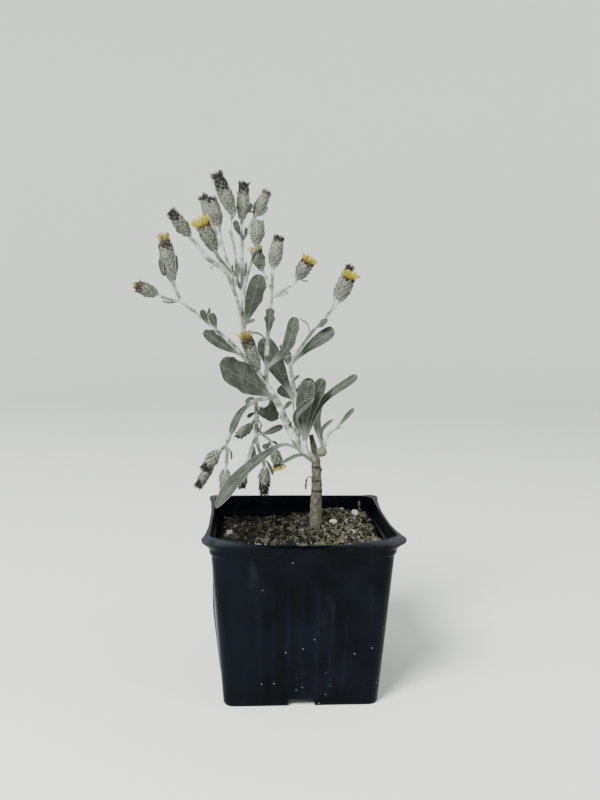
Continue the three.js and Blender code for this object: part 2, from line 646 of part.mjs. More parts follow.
function potSolid() {
  const lipLevel = pot.height - pot.lipHeight;
  const lipHalf = halfAt(lipLevel) + pot.lipReach;
  const shell = loft([
    squareRing({ z: 0, half: pot.bottomHalf - 0.8, corner: pot.bottomCorner - 0.8 }),
    squareRing({ z: 1.2 }),
    squareRing({ z: bowLevel }),
    squareRing({ z: collarLevel }),
    squareRing({ z: collarLevel + 0.6, half: halfAt(collarLevel) + pot.collarStep }),
    squareRing({
      z: lipLevel - 0.4,
      half: halfAt(lipLevel) + pot.collarStep,
      ear: pot.earReach / 3,
      sags: 1,
    }),
    squareRing({ z: lipLevel + 0.6, half: lipHalf, ear: pot.earReach, sags: 1 }),
    squareRing({ z: pot.height, half: lipHalf - 0.4, ear: pot.earReach, sags: 1 }),
  ]);
  const ribbed = shell.add(fused(wallRibs()));
  return ribbed.subtract(potHollow()).subtract(fused(notchBlocks(0))).subtract(fused(drainHoles()));
}

// Soil: a block that fills the pot, its top piled up round the trunk and the rear right corner
const mounds = [
  { x: 26, y: 30, height: 7, reach: 24 },
  { x: 11, y: 8, height: 3, reach: 12 },
];
const perlite = [[30, 40], [38, 33], [22, 13], [32, 1], [-41, 7], [8, -33], [-14, 12], [-24, -20]];

function soilHeight(x, y) {
  const piled = mounds.reduce((sum, mound) => {
    const away = (x - mound.x) ** 2 + (y - mound.y) ** 2;
    return sum + mound.height * Math.exp(-away / mound.reach ** 2);
  }, soilSize.rim);
  const crumbs = Math.sin(x / 3.1 + 1) * Math.sin(y / 2.7) + 0.6 * Math.sin(x / 1.7 - y / 2.3);
  return piled + soilSize.lump * 0.5 * crumbs;
}

function soilLump(x, y, radius, flat) {
  const lump = new THREE.IcosahedronGeometry(radius, 0);
  lump.rotateZ(x);
  lump.scale(1, 1, flat);
  lump.translate(x, y, soilHeight(x, y) + radius * flat * 0.15);
  return solidOf(lump);
}

function soilSolid() {
  const random = seeded(41);
  const shoulder = soilSize.rim - 1;
  const rimRing = hollowRing(shoulder, soilSize.clearance);
  const inwards = [0.94, 0.78, 0.62, 0.46, 0.3, 0.14];
  const block = loft([
    hollowRing(pot.floor + soilSize.clearance, soilSize.clearance),
    hollowRing(bowLevel, soilSize.clearance),
    rimRing,
    ...inwards.map((share) => rimRing.map(({ x, y }) => (
      vector([x * share, y * share, soilHeight(x * share, y * share)])
    ))),
  ]);
  const lumps = perlite.map(([x, y]) => soilLump(x, y, 2.1, 0.8));
  for (let count = 0; count < 10; count += 1) {
    lumps.push(soilLump(random() * 84 - 42, random() * 84 - 42, 2.8 + random() * 1.6, 0.5));
  }
  const hole = limb({ ...trunkLimb, grow: gap });
  const feet = fused(notchBlocks(pot.wall + soilSize.clearance));
  return largest(block.add(fused(lumps)).subtract(feet).subtract(hole));
}

// Trunk: woody stem with leaf-scar rings, a broken snag, a burl and a dry hooked petiole
const trunkLimb = {
  points: [[11, 8, 68], [11, 8, 88.5], [11, 8, 100.5], [11, 8, 119], [10.5, 8, 127], [10, 8, 132]],
  radii: [4.2, 4.2, 4.2, 4.3, 4.2, 3.9, 3.65, 3.45, 3.3, 3.1, 2.9, 2.8, 2.7],
  sides: 8,
  pitch: 5.4,
};
const snag = { points: [[10, 8, 130], [9, 9, 137.5], [7.5, 11, 145]], radii: [2.3, 1.9, 1.2], sides: 7 };
const hook = {
  points: [[9.6, 7.6, 118], [6.8, 6.4, 120], [5, 5.6, 119], [4.4, 5.2, 115.5], [4.5, 5, 112.5]],
  radii: [0.5, 0.4, 0.5],
  sides: 5,
  pitch: 2.5,
};
const scarLevels = [111.5, 117.6, 126];
const burl = { centre: [14, 8, 135], radius: 3.1 };
const burlCore = { points: [[11, 8, 131], burl.centre] };
const nub = { centre: [13.7, 7.5, 124], radius: 0.9 };

function ball({ centre, radius }) {
  const sphere = new THREE.SphereGeometry(radius, 8, 6);
  sphere.translate(...centre);
  return solidOf(sphere);
}

function trunkSolid() {
  const scars = scarLevels.map((z) => {
    const ring = new THREE.CylinderGeometry(3.2, 3.2, 0.9, 8);
    ring.rotateX(Math.PI / 2);
    ring.translate(11, 8, z);
    return solidOf(ring);
  });
  return fused([limb(trunkLimb), limb(snag), limb(hook), ball(burl), ball(nub), ...scars]);
}

// A head's own frame: its foot, its axis and two directions across it
function headFrame({ base, top }) {
  const foot = vector(base);
  const axis = vector(top).sub(foot);
  const length = axis.length();
  axis.normalize();
  const across = vector([0, 1, 0]).cross(axis).normalize();
  return { foot, length, axis, across, up: axis.clone().cross(across) };
}

function headRing(frame, pointAt) {
  const ring = [];
  const count = scales.around * 2;
  for (let place = 0; place < count; place += 1) {
    const angle = (place / count) * 2 * Math.PI;
    const [radius, height] = pointAt(place);
    const point = frame.foot.clone().addScaledVector(frame.axis, height);
    point.addScaledVector(frame.across, radius * Math.cos(angle));
    ring.push(point.addScaledVector(frame.up, radius * Math.sin(angle)));
  }
  return ring;
}

const headProfile = {
  bud: [0.32, 0.72, 0.95, 1, 0.96, 0.86, 0.72],
  open: [0.32, 0.66, 0.88, 0.98, 1, 0.97, 0.9],
  fading: [0.32, 0.7, 0.93, 1, 0.97, 0.88, 0.76],
  spent: [0.32, 0.72, 0.96, 1, 0.94, 0.82, 0.68],
};
const cupShare = { bud: 0.93, open: 0.78, fading: 0.84, spent: 0.84 };
const cupFloor = 0.86;
const firstRow = 0.12;

// The involucre: rows of felted scales, each row's tips standing proud over the next
function involucreSolid(head) {
  const frame = headFrame(head);
  const length = frame.length * cupShare[head.bloom];
  const full = head.width / 2;
  const profile = headProfile[head.bloom];
  const rings = [headRing(frame, () => [full * profile[0], gap])];
  const rows = frame.length < scales.shortLength ? scales.shortRows : scales.rows;
  const pitch = (1 - firstRow) / rows;
  for (let row = 0; row < rows; row += 1) {
    const low = firstRow + pitch * row;
    const wide = full * along(profile, low);
    const wideAbove = full * along(profile, Math.min(1, low + pitch * 0.9));
    rings.push(headRing(frame, () => [wide * scales.tuck, low * length]));
    rings.push(headRing(frame, (place) => {
      if (place % 2 !== row % 2) return [wideAbove * 0.98, (low + pitch * 0.77) * length];
      return [wideAbove * (1 + scales.flare), (low + pitch * 1.18) * length];
    }));
  }
  const end = full * profile.at(-1);
  if (head.bloom === 'bud') {
    rings.push(headRing(frame, () => [end * 0.72, length]));
    rings.push(headRing(frame, () => [end * 0.3, length * 1.07]));
  } else {
    rings.push(headRing(frame, () => [end * 0.72, cupFloor * length]));
  }
  const bracts = (head.bracts ?? []).map((bract) => {
    const root = frame.foot.clone().addScaledVector(frame.axis, 0.25 * length).toArray();
    return leaf({ neck: 0.4, ...bract, points: [root, ...bract.points] });
  });
  return fused([loft(rings), ...bracts]);
}

const floretSpread = { open: 1.12, fading: 0.85, spent: 0.85 };

// The tuft of florets: an outer and an inner ring of points that stand in the cup
function floretSolid(head) {
  const frame = headFrame(head);
  const low = cupFloor * cupShare[head.bloom] * frame.length + gap;
  const tall = frame.length - low;
  const full = (head.width / 2) * headProfile[head.bloom].at(-1);
  const spread = floretSpread[head.bloom];
  return loft([
    headRing(frame, () => [full * 0.5, low]),
    headRing(frame, (place) => (
      place % 2 ? [full * 0.6, low + tall * 0.5] : [full * spread, low + tall * 0.85]
    )),
    headRing(frame, (place) => (
      place % 2 ? [full * 0.55, low + tall] : [full * 0.4, low + tall * 0.6]
    )),
    headRing(frame, () => [full * 0.14, low + tall * 0.9]),
  ]);
}

// The point of a set of limbs that lies nearest to a place, so that roots sink to the core
function rootOn(limbs, place) {
  const target = vector(place);
  let best = null;
  for (const { points } of limbs) {
    for (const point of curveThrough(points).getSpacedPoints(60)) {
      if (!best || point.distanceTo(target) < best.distanceTo(target)) best = point;
    }
  }
  return best.toArray();
}

// Limbs of a stem with their first points moved onto what carries them
function rootedLimbs(name) {
  const { grows, limbs } = stems[name];
  const carriers = grows === 'trunk' ? [trunkLimb, burlCore] : rooted[grows];
  const done = [];
  for (const spec of limbs) {
    const root = rootOn(done.length ? done : carriers, spec.points[0]);
    const head = heads[spec.head];
    const tipAxis = head ? headFrame(head).axis : undefined;
    done.push({ ...spec, tipAxis, points: [root, ...spec.points.slice(1)] });
  }
  return done;
}

function stemSolid(name) {
  const solids = rooted[name].map((spec) => limb(spec));
  for (const spec of stems[name].leaves) {
    const root = rootOn(rooted[name], spec.points[0]);
    solids.push(leaf({ ...spec, points: [root, ...spec.points.slice(1)] }));
  }
  return fused(solids);
}

// The limbs of a stem grown by the gap, to keep what branches from it clear
const clearOf = (name) => fused(rooted[name].map((spec) => limb({ ...spec, grow: gap })));

const rooted = {};
for (const name of Object.keys(stems)) rooted[name] = rootedLimbs(name);

const plant = new THREE.Group();

function place(name, solid, material) {
  const geometry = geometryOf(solid.asOriginal().simplify(meshTolerance));
  const mesh = new THREE.Mesh(geometry, new THREE.MeshStandardMaterial(material));
  mesh.name = name;
  plant.add(mesh);
}

place('pot', potSolid(), { color: 0x10141f, roughness: 0.35 });
place('soil', soilSolid(), { color: 0x5a5140, roughness: 1 });
place('trunk', trunkSolid(), bark);
let carriersGrown = fused([
  limb({ ...trunkLimb, grow: gap }),
  limb({ ...snag, grow: gap }),
  ball({ ...burl, radius: burl.radius + gap }),
]);
for (const name of Object.keys(stems)) {
  place(name, largest(stemSolid(name).subtract(carriersGrown)), name === 'rosette' ? felt : stemFelt);
  carriersGrown = carriersGrown.add(clearOf(name));
}
for (const [name, head] of Object.entries(heads)) {
  place(name, involucreSolid(head), involucre);
  if (head.bloom === 'bud') continue;
  place(name.replace('head', 'florets'), floretSolid(head), florets[head.bloom]);
}

export default plant;
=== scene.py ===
import math

import bmesh
import bpy
from mathutils import Matrix, Vector, noise


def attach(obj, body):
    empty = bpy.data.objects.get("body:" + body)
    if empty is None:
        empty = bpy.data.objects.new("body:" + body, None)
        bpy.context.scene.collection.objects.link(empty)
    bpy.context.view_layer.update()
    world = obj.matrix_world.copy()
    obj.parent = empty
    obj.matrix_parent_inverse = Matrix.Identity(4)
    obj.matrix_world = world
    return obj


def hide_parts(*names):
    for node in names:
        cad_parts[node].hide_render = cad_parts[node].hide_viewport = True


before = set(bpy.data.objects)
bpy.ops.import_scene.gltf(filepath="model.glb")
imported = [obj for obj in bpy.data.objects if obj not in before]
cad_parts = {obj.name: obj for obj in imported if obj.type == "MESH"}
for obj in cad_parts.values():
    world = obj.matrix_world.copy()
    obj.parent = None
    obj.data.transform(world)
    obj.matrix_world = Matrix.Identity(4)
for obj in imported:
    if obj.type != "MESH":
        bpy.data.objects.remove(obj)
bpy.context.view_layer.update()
mm = 0.001
print("frame loaded:", len(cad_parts), "nodes")


# Numbers and curves
def smoothStep(value, low, high):
    share = min(1, max(0, (value - low) / (high - low)))
    return share * share * (3 - 2 * share)


def blendOf(low, high, share):
    return low + (high - low) * share


def along(values, share):
    place = share * (len(values) - 1)
    low = min(int(place), len(values) - 2)
    return blendOf(values[low], values[low + 1], place - low)


def circle(radius, z, sides):
    ring = []
    for side in range(sides):
        angle = 2 * math.pi * side / sides
        ring.append(Vector((radius * math.cos(angle), radius * math.sin(angle), z)))
    return ring


def routeThrough(points, pitch):
    # centres and directions at even steps along a smooth curve through the points
    knots = [Vector(point) for point in points]
    knots = [2 * knots[0] - knots[1], *knots, 2 * knots[-1] - knots[-2]]
    dense = [knots[1].copy()]
    for before, start, end, after in zip(knots, knots[1:], knots[2:], knots[3:]):
        a, b, c = ((q - p).length ** 0.5 for p, q in ((before, start), (start, end), (end, after)))
        leave = ((start - before) / a - (end - before) / (a + b) + (end - start) / b) * b
        arrive = ((end - start) / b - (after - start) / (b + c) + (after - end) / c) * b
        for step in range(1, 25):
            t = step / 24
            bend = (3 * (end - start) - 2 * leave - arrive) * t ** 2
            dense.append(start + leave * t + bend + (2 * (start - end) + leave + arrive) * t ** 3)
    reached = [0]
    for a, b in zip(dense, dense[1:]):
        reached.append(reached[-1] + (b - a).length)
    steps = max(3, round(reached[-1] / pitch))
    centres, span = [], 0
    for step in range(steps + 1):
        place = reached[-1] * step / steps
        while span < len(dense) - 2 and reached[span + 1] < place:
            span += 1
        share = (place - reached[span]) / (reached[span + 1] - reached[span])
        centres.append(dense[span].lerp(dense[span + 1], min(1, share)))
    ahead = [
        (centres[min(step + 1, steps)] - centres[max(step - 1, 0)]).normalized()
        for step in range(steps + 1)
    ]
    return centres, ahead


# Meshes
def meshOf(name, points, faces):
    made = bpy.data.meshes.new(name)
    made.from_pydata([tuple(Vector(point) * mm) for point in points], [], faces)
    made.update()
    return made


def loftFaces(rows, around):
    # faces of a closed skin over rings that run counterclockwise seen from the last one
    faces = []
    for row in range(rows - 1):
        for side in range(around):
            nextSide = (side + 1) % around
            a, b = row * around + side, row * around + nextSide
            faces.append((a, b, b + around, a + around))
    faces.append(tuple(range(around - 1, -1, -1)))
    faces.append(tuple(range((rows - 1) * around, rows * around)))
    return faces


def loftMesh(name, rings):
    points = [point for ring in rings for point in ring]
    return meshOf(name, points, loftFaces(len(rings), len(rings[0])))


def tubeRings(points, radiusAt, sides, pitch):
    centres, ahead = routeThrough(points, pitch)
    across = ahead[0].orthogonal().normalized()
    rings = []
    for step, (centre, forward) in enumerate(zip(centres, ahead)):
        across = (across - forward * across.dot(forward)).normalized()
        up = forward.cross(across)
        ring = []
        for side in range(sides):
            angle = 2 * math.pi * side / sides
            outward = across * math.cos(angle) + up * math.sin(angle)
            ring.append(centre + outward * radiusAt(step / (len(centres) - 1), centre, outward))
        rings.append(ring)
    return rings


def tube(name, points, radii, sides=12, pitch=0.8, lumps=0.0):
    def radiusAt(share, centre, outward):
        radius = along(radii, share)
        return radius * (1 + lumps * noise.noise((centre + outward * radius) * 0.5))
    return loftMesh(name, tubeRings(points, radiusAt, sides, pitch))


def setPaint(mesh, **marks):
    for name, values in marks.items():
        mesh.attributes.new(name, "FLOAT", "POINT").data.foreach_set("value", values)


# Objects, and the modifiers that finish them
scene = bpy.context.scene


def objectOf(name, mesh, *materials):
    made = bpy.data.objects.new(name, mesh)
    scene.collection.objects.link(made)
    for material in materials:
        mesh.materials.append(material)
    return made


def joined(name, objects):
    if len(objects) > 1:
        with bpy.context.temp_override(active_object=objects[0], selected_editable_objects=objects):
            bpy.ops.object.join()
    objects[0].name = name
    objects[0].data.name = name
    return objects[0]


def plainMesh(piece):
    graph = bpy.context.evaluated_depsgraph_get()
    return bpy.data.meshes.new_from_object(
        piece.evaluated_get(graph), preserve_all_data_layers=True, depsgraph=graph
    )


def settle(piece):
    # turns a piece's modifiers into its plain mesh
    old, made = piece.data, plainMesh(piece)
    piece.modifiers.clear()
    piece.data = made
    made.name = piece.name
    bpy.data.meshes.remove(old)
    return piece


def cutWith(piece, tool):
    boolean = piece.modifiers.new("cut", "BOOLEAN")
    boolean.operation = "DIFFERENCE"
    boolean.solver = "MANIFOLD"
    boolean.object = tool
    settle(piece)
    bpy.data.objects.remove(tool)
    return piece


def skinned(piece, voxel, smoothing=2):
    # one even skin over shells that run into each other
    remesh = piece.modifiers.new("skin", "REMESH")
    remesh.mode = "VOXEL"
    remesh.voxel_size = voxel * mm
    remesh.use_smooth_shade = True
    soften = piece.modifiers.new("soften", "SMOOTH")
    soften.factor = 0.5
    soften.iterations = smoothing
    return settle(piece)


def moveEach(mesh, mover):
    # mover takes a point in millimetres and gives how far it moves out
    surface = [(vertex.co.copy(), vertex.normal.copy()) for vertex in mesh.vertices]
    moved = []
    for place, normal in surface:
        moved.extend(place + normal * mover(place / mm) * mm)
    mesh.vertices.foreach_set("co", moved)
    mesh.update()


def fasten(piece, slot, *nodes):
    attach(piece, "root")
    if nodes:
        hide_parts(*nodes)
    return piece


# Node trees, for materials and for geometry
def socketOf(sockets, key):
    if isinstance(key, int):
        return sockets[key]
    return next(socket for socket in sockets if socket.name == key and socket.enabled)


def addNode(tree, kind, inputs=None, **settings):
    node = tree.nodes.new(kind)
    for key, value in settings.items():
        setattr(node, key, value)
    for key, value in (inputs or {}).items():
        socket = socketOf(node.inputs, key)
        if isinstance(value, bpy.types.NodeSocket):
            tree.links.new(value, socket)
        else:
            socket.default_value = value
    return node


def maths(tree, operation, *values, clamp=False):
    node = addNode(tree, "ShaderNodeMath", dict(enumerate(values)), operation=operation)
    node.use_clamp = clamp
    return node.outputs[0]


def times(tree, *values):
    return maths(tree, "MULTIPLY", *values)


def plus(tree, *values, clamp=False):
    return maths(tree, "ADD", *values, clamp=clamp)


def minus(tree, *values):
    return maths(tree, "SUBTRACT", *values)


def vectors(tree, operation, *values):
    return addNode(tree, "ShaderNodeVectorMath", dict(enumerate(values)), operation=operation).outputs[0]


def vectorOf(tree, x=0.0, y=0.0, z=0.0):
    return addNode(tree, "ShaderNodeCombineXYZ", {0: x, 1: y, 2: z}).outputs[0]


def partOf(tree, vector, axis):
    return addNode(tree, "ShaderNodeSeparateXYZ", {0: vector}).outputs[axis]


def shareBetween(tree, value, low, high):
    inputs = {"Value": value, "From Min": low, "From Max": high}
    return addNode(tree, "ShaderNodeMapRange", inputs, interpolation_type="SMOOTHSTEP").outputs[0]


# Materials
def tint(red, green, blue):
    # a colour as read on a screen, 0 to 255, in linear light
    return tuple(
        (c / 255 / 12.92) if c <= 10 else ((c / 255 + 0.055) / 1.055) ** 2.4
        for c in (red, green, blue)
    ) + (1,)


def startMaterial(name, roughness, **settings):
    made = bpy.data.materials.new(name)
    made.use_nodes = True
    shader = made.node_tree.nodes["Principled BSDF"]
    shader.inputs["Roughness"].default_value = roughness
    for key, value in settings.items():
        shader.inputs[key.replace("_", " ")].default_value = value
    return made, made.node_tree, shader


def placeOf(tree):
    return addNode(tree, "ShaderNodeTexCoord").outputs["Object"]


def grain(tree, place, size, detail=3, roughness=0.55, stretch=None):
    # a noise of the given feature size in millimetres
    if stretch:
        place = vectors(tree, "MULTIPLY", place, stretch)
    inputs = {"Vector": place, "Scale": 1 / (size * mm), "Detail": detail, "Roughness": roughness}
    return addNode(tree, "ShaderNodeTexNoise", inputs).outputs[0]


def shades(tree, share, *stops):
    node = addNode(tree, "ShaderNodeValToRGB", {"Fac": share})
    line = node.color_ramp
    while len(line.elements) < len(stops):
        line.elements.new(0.5)
    for element, (place, colour) in zip(line.elements, stops):
        element.position = place
        element.color = colour
    return node.outputs[0]


def mixed(tree, share, low, high):
    return addNode(tree, "ShaderNodeMix", {0: share, 6: low, 7: high}, data_type="RGBA").outputs[2]


def paint(tree, name):
    return addNode(tree, "ShaderNodeAttribute", attribute_name=name).outputs["Fac"]


def finishMaterial(tree, shader, colour, height, depth, roughness=None):
    # depth is the height of the relief in millimetres
    tree.links.new(colour, shader.inputs["Base Color"])
    bump = addNode(tree, "ShaderNodeBump", {"Height": height, "Distance": depth * mm, "Strength": 1.0})
    tree.links.new(bump.outputs[0], shader.inputs["Normal"])
    if roughness:
        tree.links.new(roughness, shader.inputs["Roughness"])


# Felt: white wool over grey-green, on the stems
def stemFeltMaterial():
    wool = dict(
        light=tint(205, 208, 202), middle=tint(108, 112, 104), shade=tint(54, 59, 50),
        patchSize=5, fibreSize=0.28, relief=0.12,
    )
    made, tree, shader = startMaterial(
        "stemFelt", 0.92, Sheen_Weight=0.1, Sheen_Roughness=0.45, Specular_IOR_Level=0.15
    )
    place = placeOf(tree)
    patches = grain(tree, place, wool["patchSize"], 4)
    fibres = grain(tree, place, wool["fibreSize"], 3, 0.7)
    share = plus(tree, times(tree, patches, 0.65), times(tree, fibres, 0.4))
    colour = shades(tree, share, (0.36, wool["shade"]), (0.5, wool["middle"]), (0.66, wool["light"]))
    finishMaterial(tree, shader, colour, fibres, wool["relief"])
    return made


# Leaves: sage felt, greener above, with a pale rib, faint side veins and a thin pale margin
def leafFeltMaterial():
    leafTint = dict(
        upper=tint(60, 65, 57), upperDark=tint(38, 42, 36), lower=tint(84, 89, 80),
        rib=tint(112, 118, 110), margin=tint(150, 154, 146), patchSize=6, fibreSize=0.3,
        petiole=tint(120, 125, 116), ribWidth=0.4, marginWidth=0.26, relief=0.08,
        fuzzShow=0.28, veinShow=0.16, ribShow=0.42, marginShow=0.65, petioleShow=0.75,
    )
    made, tree, shader = startMaterial(
        "leafFelt", 0.85, Sheen_Weight=0.03, Sheen_Roughness=0.5, Specular_IOR_Level=0.12
    )
    place = placeOf(tree)
    patches = grain(tree, place, leafTint["patchSize"], 4)
    fibres = grain(tree, place, leafTint["fibreSize"], 3, 0.7)
    mottle = plus(tree, times(tree, patches, 0.7), times(tree, fibres, 0.3))
    upper = mixed(tree, shareBetween(tree, mottle, 0.36, 0.62), leafTint["upperDark"], leafTint["upper"])
    colour = mixed(tree, paint(tree, "upper"), leafTint["lower"], upper)
    fuzz = times(tree, shareBetween(tree, fibres, 0.48, 0.78), leafTint["fuzzShow"])
    colour = mixed(tree, fuzz, colour, leafTint["margin"])
    veins = times(tree, paint(tree, "vein"), leafTint["veinShow"])
    colour = mixed(tree, veins, colour, leafTint["rib"])
    toRib = shareBetween(tree, paint(tree, "toRib"), leafTint["ribWidth"], 0)
    colour = mixed(tree, times(tree, toRib, leafTint["ribShow"]), colour, leafTint["rib"])
    toMargin = shareBetween(tree, paint(tree, "toMargin"), leafTint["marginWidth"], 0.05)
    colour = mixed(tree, times(tree, toMargin, leafTint["marginShow"]), colour, leafTint["margin"])
    petiole = times(tree, paint(tree, "petiole"), leafTint["petioleShow"])
    colour = mixed(tree, petiole, colour, leafTint["petiole"])
    finishMaterial(tree, shader, colour, fibres, leafTint["relief"])
    return made


# Scales of a head: woolly edges brightened by a painted highlight, over grey-brown middles, burnt dark
# towards a spent head's mouth
def scaleMaterial():
    scaleTint = dict(
        wool=tint(114, 116, 107), middle=tint(58, 56, 48), olive=tint(70, 76, 46),
        edge=tint(186, 188, 180), dark=tint(10, 8, 7), rust=tint(80, 44, 36),
        markSize=1.1, fibreSize=0.22, relief=0.1,
    )
    made, tree, shader = startMaterial(
        "scaleFelt", 0.9, Sheen_Weight=0.03, Sheen_Roughness=0.45, Specular_IOR_Level=0.15
    )
    place = placeOf(tree)
    fibres = grain(tree, place, scaleTint["fibreSize"], 3, 0.7)
    marks = grain(tree, place, scaleTint["markSize"], 2)
    reach = paint(tree, "reach")
    bare = times(tree, shareBetween(tree, reach, 0.35, 0.75), shareBetween(tree, reach, 1.02, 0.86))
    bare = times(tree, times(tree, bare, shareBetween(tree, marks, 0.36, 0.62)), paint(tree, "bare"))
    colour = mixed(tree, bare, scaleTint["wool"], scaleTint["middle"])
    shadeOfOne = times(tree, paint(tree, "tone"), 0.45)
    colour = mixed(tree, shadeOfOne, colour, scaleTint["middle"])
    # the tips of the scales are lighter: partly their own wool, partly a painted highlight
    woolly = times(tree, shareBetween(tree, reach, 0.8, 1.0), shareBetween(tree, fibres, 0.4, 0.55))
    colour = mixed(tree, times(tree, woolly, 0.7), colour, scaleTint["edge"])
    green = times(tree, paint(tree, "green"), shareBetween(tree, marks, 0.4, 0.6))
    colour = mixed(tree, green, colour, scaleTint["olive"])
    burnt = mixed(tree, paint(tree, "rust"), scaleTint["dark"], scaleTint["rust"])
    tipped = times(tree, paint(tree, "dark"), shareBetween(tree, reach, 0.15, 0.55))
    spotted = times(tree, tipped, shareBetween(tree, fibres, 0.62, 0.5))
    colour = mixed(tree, maths(tree, "MAXIMUM", spotted, times(tree, tipped, 0.75)), colour, burnt)
    finishMaterial(tree, shader, colour, fibres, scaleTint["relief"])
    return made


# Florets: colour along each one, from the root to the tip, with the dark roots as painted shade deep in the
# tuft
def floretMaterial(name, root, middle, tip):
    made, tree, shader = startMaterial(name, 0.6, Specular_IOR_Level=0.3, Sheen_Weight=0.1)
    reach = paint(tree, "reach")
    uneven = times(tree, minus(tree, paint(tree, "tone"), 0.5), 0.5)
    share = plus(tree, reach, uneven, clamp=True)
    # painted shade: the ramp is darkest at the roots, deep in the tuft
    colour = shades(tree, share, (0.1, root), (0.5, middle), (0.95, tip))
    finishMaterial(tree, shader, colour, grain(tree, placeOf(tree), 0.2), 0.04)
    return made


# Bark: grey-brown with dark leaf-scar bands, furrows, and moss low on the right
scarLevels = (111.5, 117.6, 126)


def barkMaterial():
    barkTint = dict(
        light=tint(104, 101, 92), middle=tint(66, 63, 55), dark=tint(36, 32, 27),
        band=tint(20, 17, 15), moss=tint(62, 66, 30), woolly=tint(98, 101, 88),
        bandHalf=0.95,
    )
    made, tree, shader = startMaterial("bark", 0.9, Specular_IOR_Level=0.2)
    place = placeOf(tree)
    furrows = grain(tree, place, 1.1, 5, 0.65, stretch=(1, 1, 0.35))
    fine = grain(tree, place, 0.35, 3, 0.6)
    share = plus(tree, times(tree, furrows, 0.7), times(tree, fine, 0.3))
    colour = shades(
        tree, share, (0.34, barkTint["dark"]), (0.48, barkTint["middle"]), (0.64, barkTint["light"])
    )
    height = partOf(tree, place, "Z")
    wander = times(tree, minus(tree, grain(tree, place, 2.5, 2), 0.5), 1.8 * mm)
    level = plus(tree, height, wander)
    for band in scarLevels:
        away = maths(tree, "ABSOLUTE", minus(tree, level, band * mm))
        inBand = shareBetween(tree, away, barkTint["bandHalf"] * mm, 0.2 * mm)
        colour = mixed(tree, times(tree, inBand, 0.75), colour, barkTint["band"])
    colour = mixed(tree, paint(tree, "woolly"), colour, barkTint["woolly"])
    colour = mixed(tree, times(tree, paint(tree, "dead"), 0.8), colour, barkTint["dark"])
    mossy = times(tree, paint(tree, "mossy"), shareBetween(tree, fine, 0.38, 0.55))
    colour = mixed(tree, mossy, colour, barkTint["moss"])
    finishMaterial(tree, shader, colour, share, 0.35)
    return made


# Pot plastic: navy-black with a soft gloss, dusty specks, a rim scuffed pale, and a painted highlight in
# streaks along the rib crests
def potMaterial():
    plastic = dict(
        deep=tint(1, 2, 5), soft=tint(5, 8, 17), crest=tint(13, 19, 33), rim=tint(46, 49, 54),
        speck=tint(176, 178, 172), dust=tint(90, 90, 88), speckSize=3.2, scuffSize=9, cloudSize=26,
        dustShow=0.1, ribHighlightShow=0.42,
    )
    made, tree, shader = startMaterial("potPlastic", 0.34, Specular_IOR_Level=0.06)
    place = placeOf(tree)
    cloud = grain(tree, place, plastic["cloudSize"], 4)
    scuffs = grain(tree, place, plastic["scuffSize"], 5, 0.65, stretch=(1, 1, 0.3))
    fine = grain(tree, place, 0.5, 3)
    colour = mixed(tree, shareBetween(tree, cloud, 0.35, 0.65), plastic["deep"], plastic["soft"])
    dusty = times(tree, shareBetween(tree, scuffs, 0.6, 0.8), plastic["dustShow"])
    colour = mixed(tree, dusty, colour, plastic["dust"])
    # painted highlight: the crests of the ribs are lightened in streaks where gloss would catch the light
    crest = times(tree, paint(tree, "crest"), shareBetween(tree, scuffs, 0.3, 0.6))
    colour = mixed(tree, times(tree, crest, plastic["ribHighlightShow"]), colour, plastic["crest"])
    height = partOf(tree, place, "Z")
    worn = times(tree, paint(tree, "worn"), shareBetween(tree, scuffs, 0.2, 0.5))
    colour = mixed(tree, worn, colour, plastic["rim"])
    inputs = {"Vector": place, "Scale": 1 / (plastic["speckSize"] * mm)}
    specks = addNode(tree, "ShaderNodeTexVoronoi", inputs).outputs
    spots = shareBetween(tree, specks["Distance"], 0.1, 0.045)
    few = addNode(tree, "ShaderNodeSeparateColor", {0: specks["Color"]}).outputs[0]
    lowDown = shareBetween(tree, height, 70 * mm, 5 * mm)
    often = plus(tree, times(tree, lowDown, 0.1), 0.07)
    spots = times(tree, spots, maths(tree, "LESS_THAN", few, often))
    colour = mixed(tree, spots, colour, plastic["speck"])
    rough = plus(tree, times(tree, scuffs, 0.22), times(tree, worn, 0.25))
    rough = plus(tree, plus(tree, rough, 0.24), times(tree, spots, 0.3))
    relief = plus(tree, times(tree, fine, 0.25), scuffs)
    finishMaterial(tree, shader, colour, relief, 0.12, rough)
    return made


# Soil, crumbs, moss and perlite, all with painted shade on the left and painted light on the right
def grainMaterial(name, dark, middle, light, size=1.2, roughness=0.95, relief=0.3):
    made, tree, shader = startMaterial(name, roughness, Specular_IOR_Level=0.2)
    place = placeOf(tree)
    lumps = grain(tree, place, size, 4, 0.65)
    share = plus(tree, lumps, times(tree, minus(tree, paint(tree, "tone"), 0.5), 0.5))
    # painted light and shade: every grain is darker towards the left and lighter towards the right, along X
    across = partOf(tree, place, "X")
    paintedLightToRight = times(tree, shareBetween(tree, across, -0.05, 0.045), 0.24)
    share = plus(tree, share, minus(tree, paintedLightToRight, 0.12))
    colour = shades(tree, share, (0.3, dark), (0.5, middle), (0.72, light))
    finishMaterial(tree, shader, colour, grain(tree, place, size * 0.3, 3), relief)
    return made


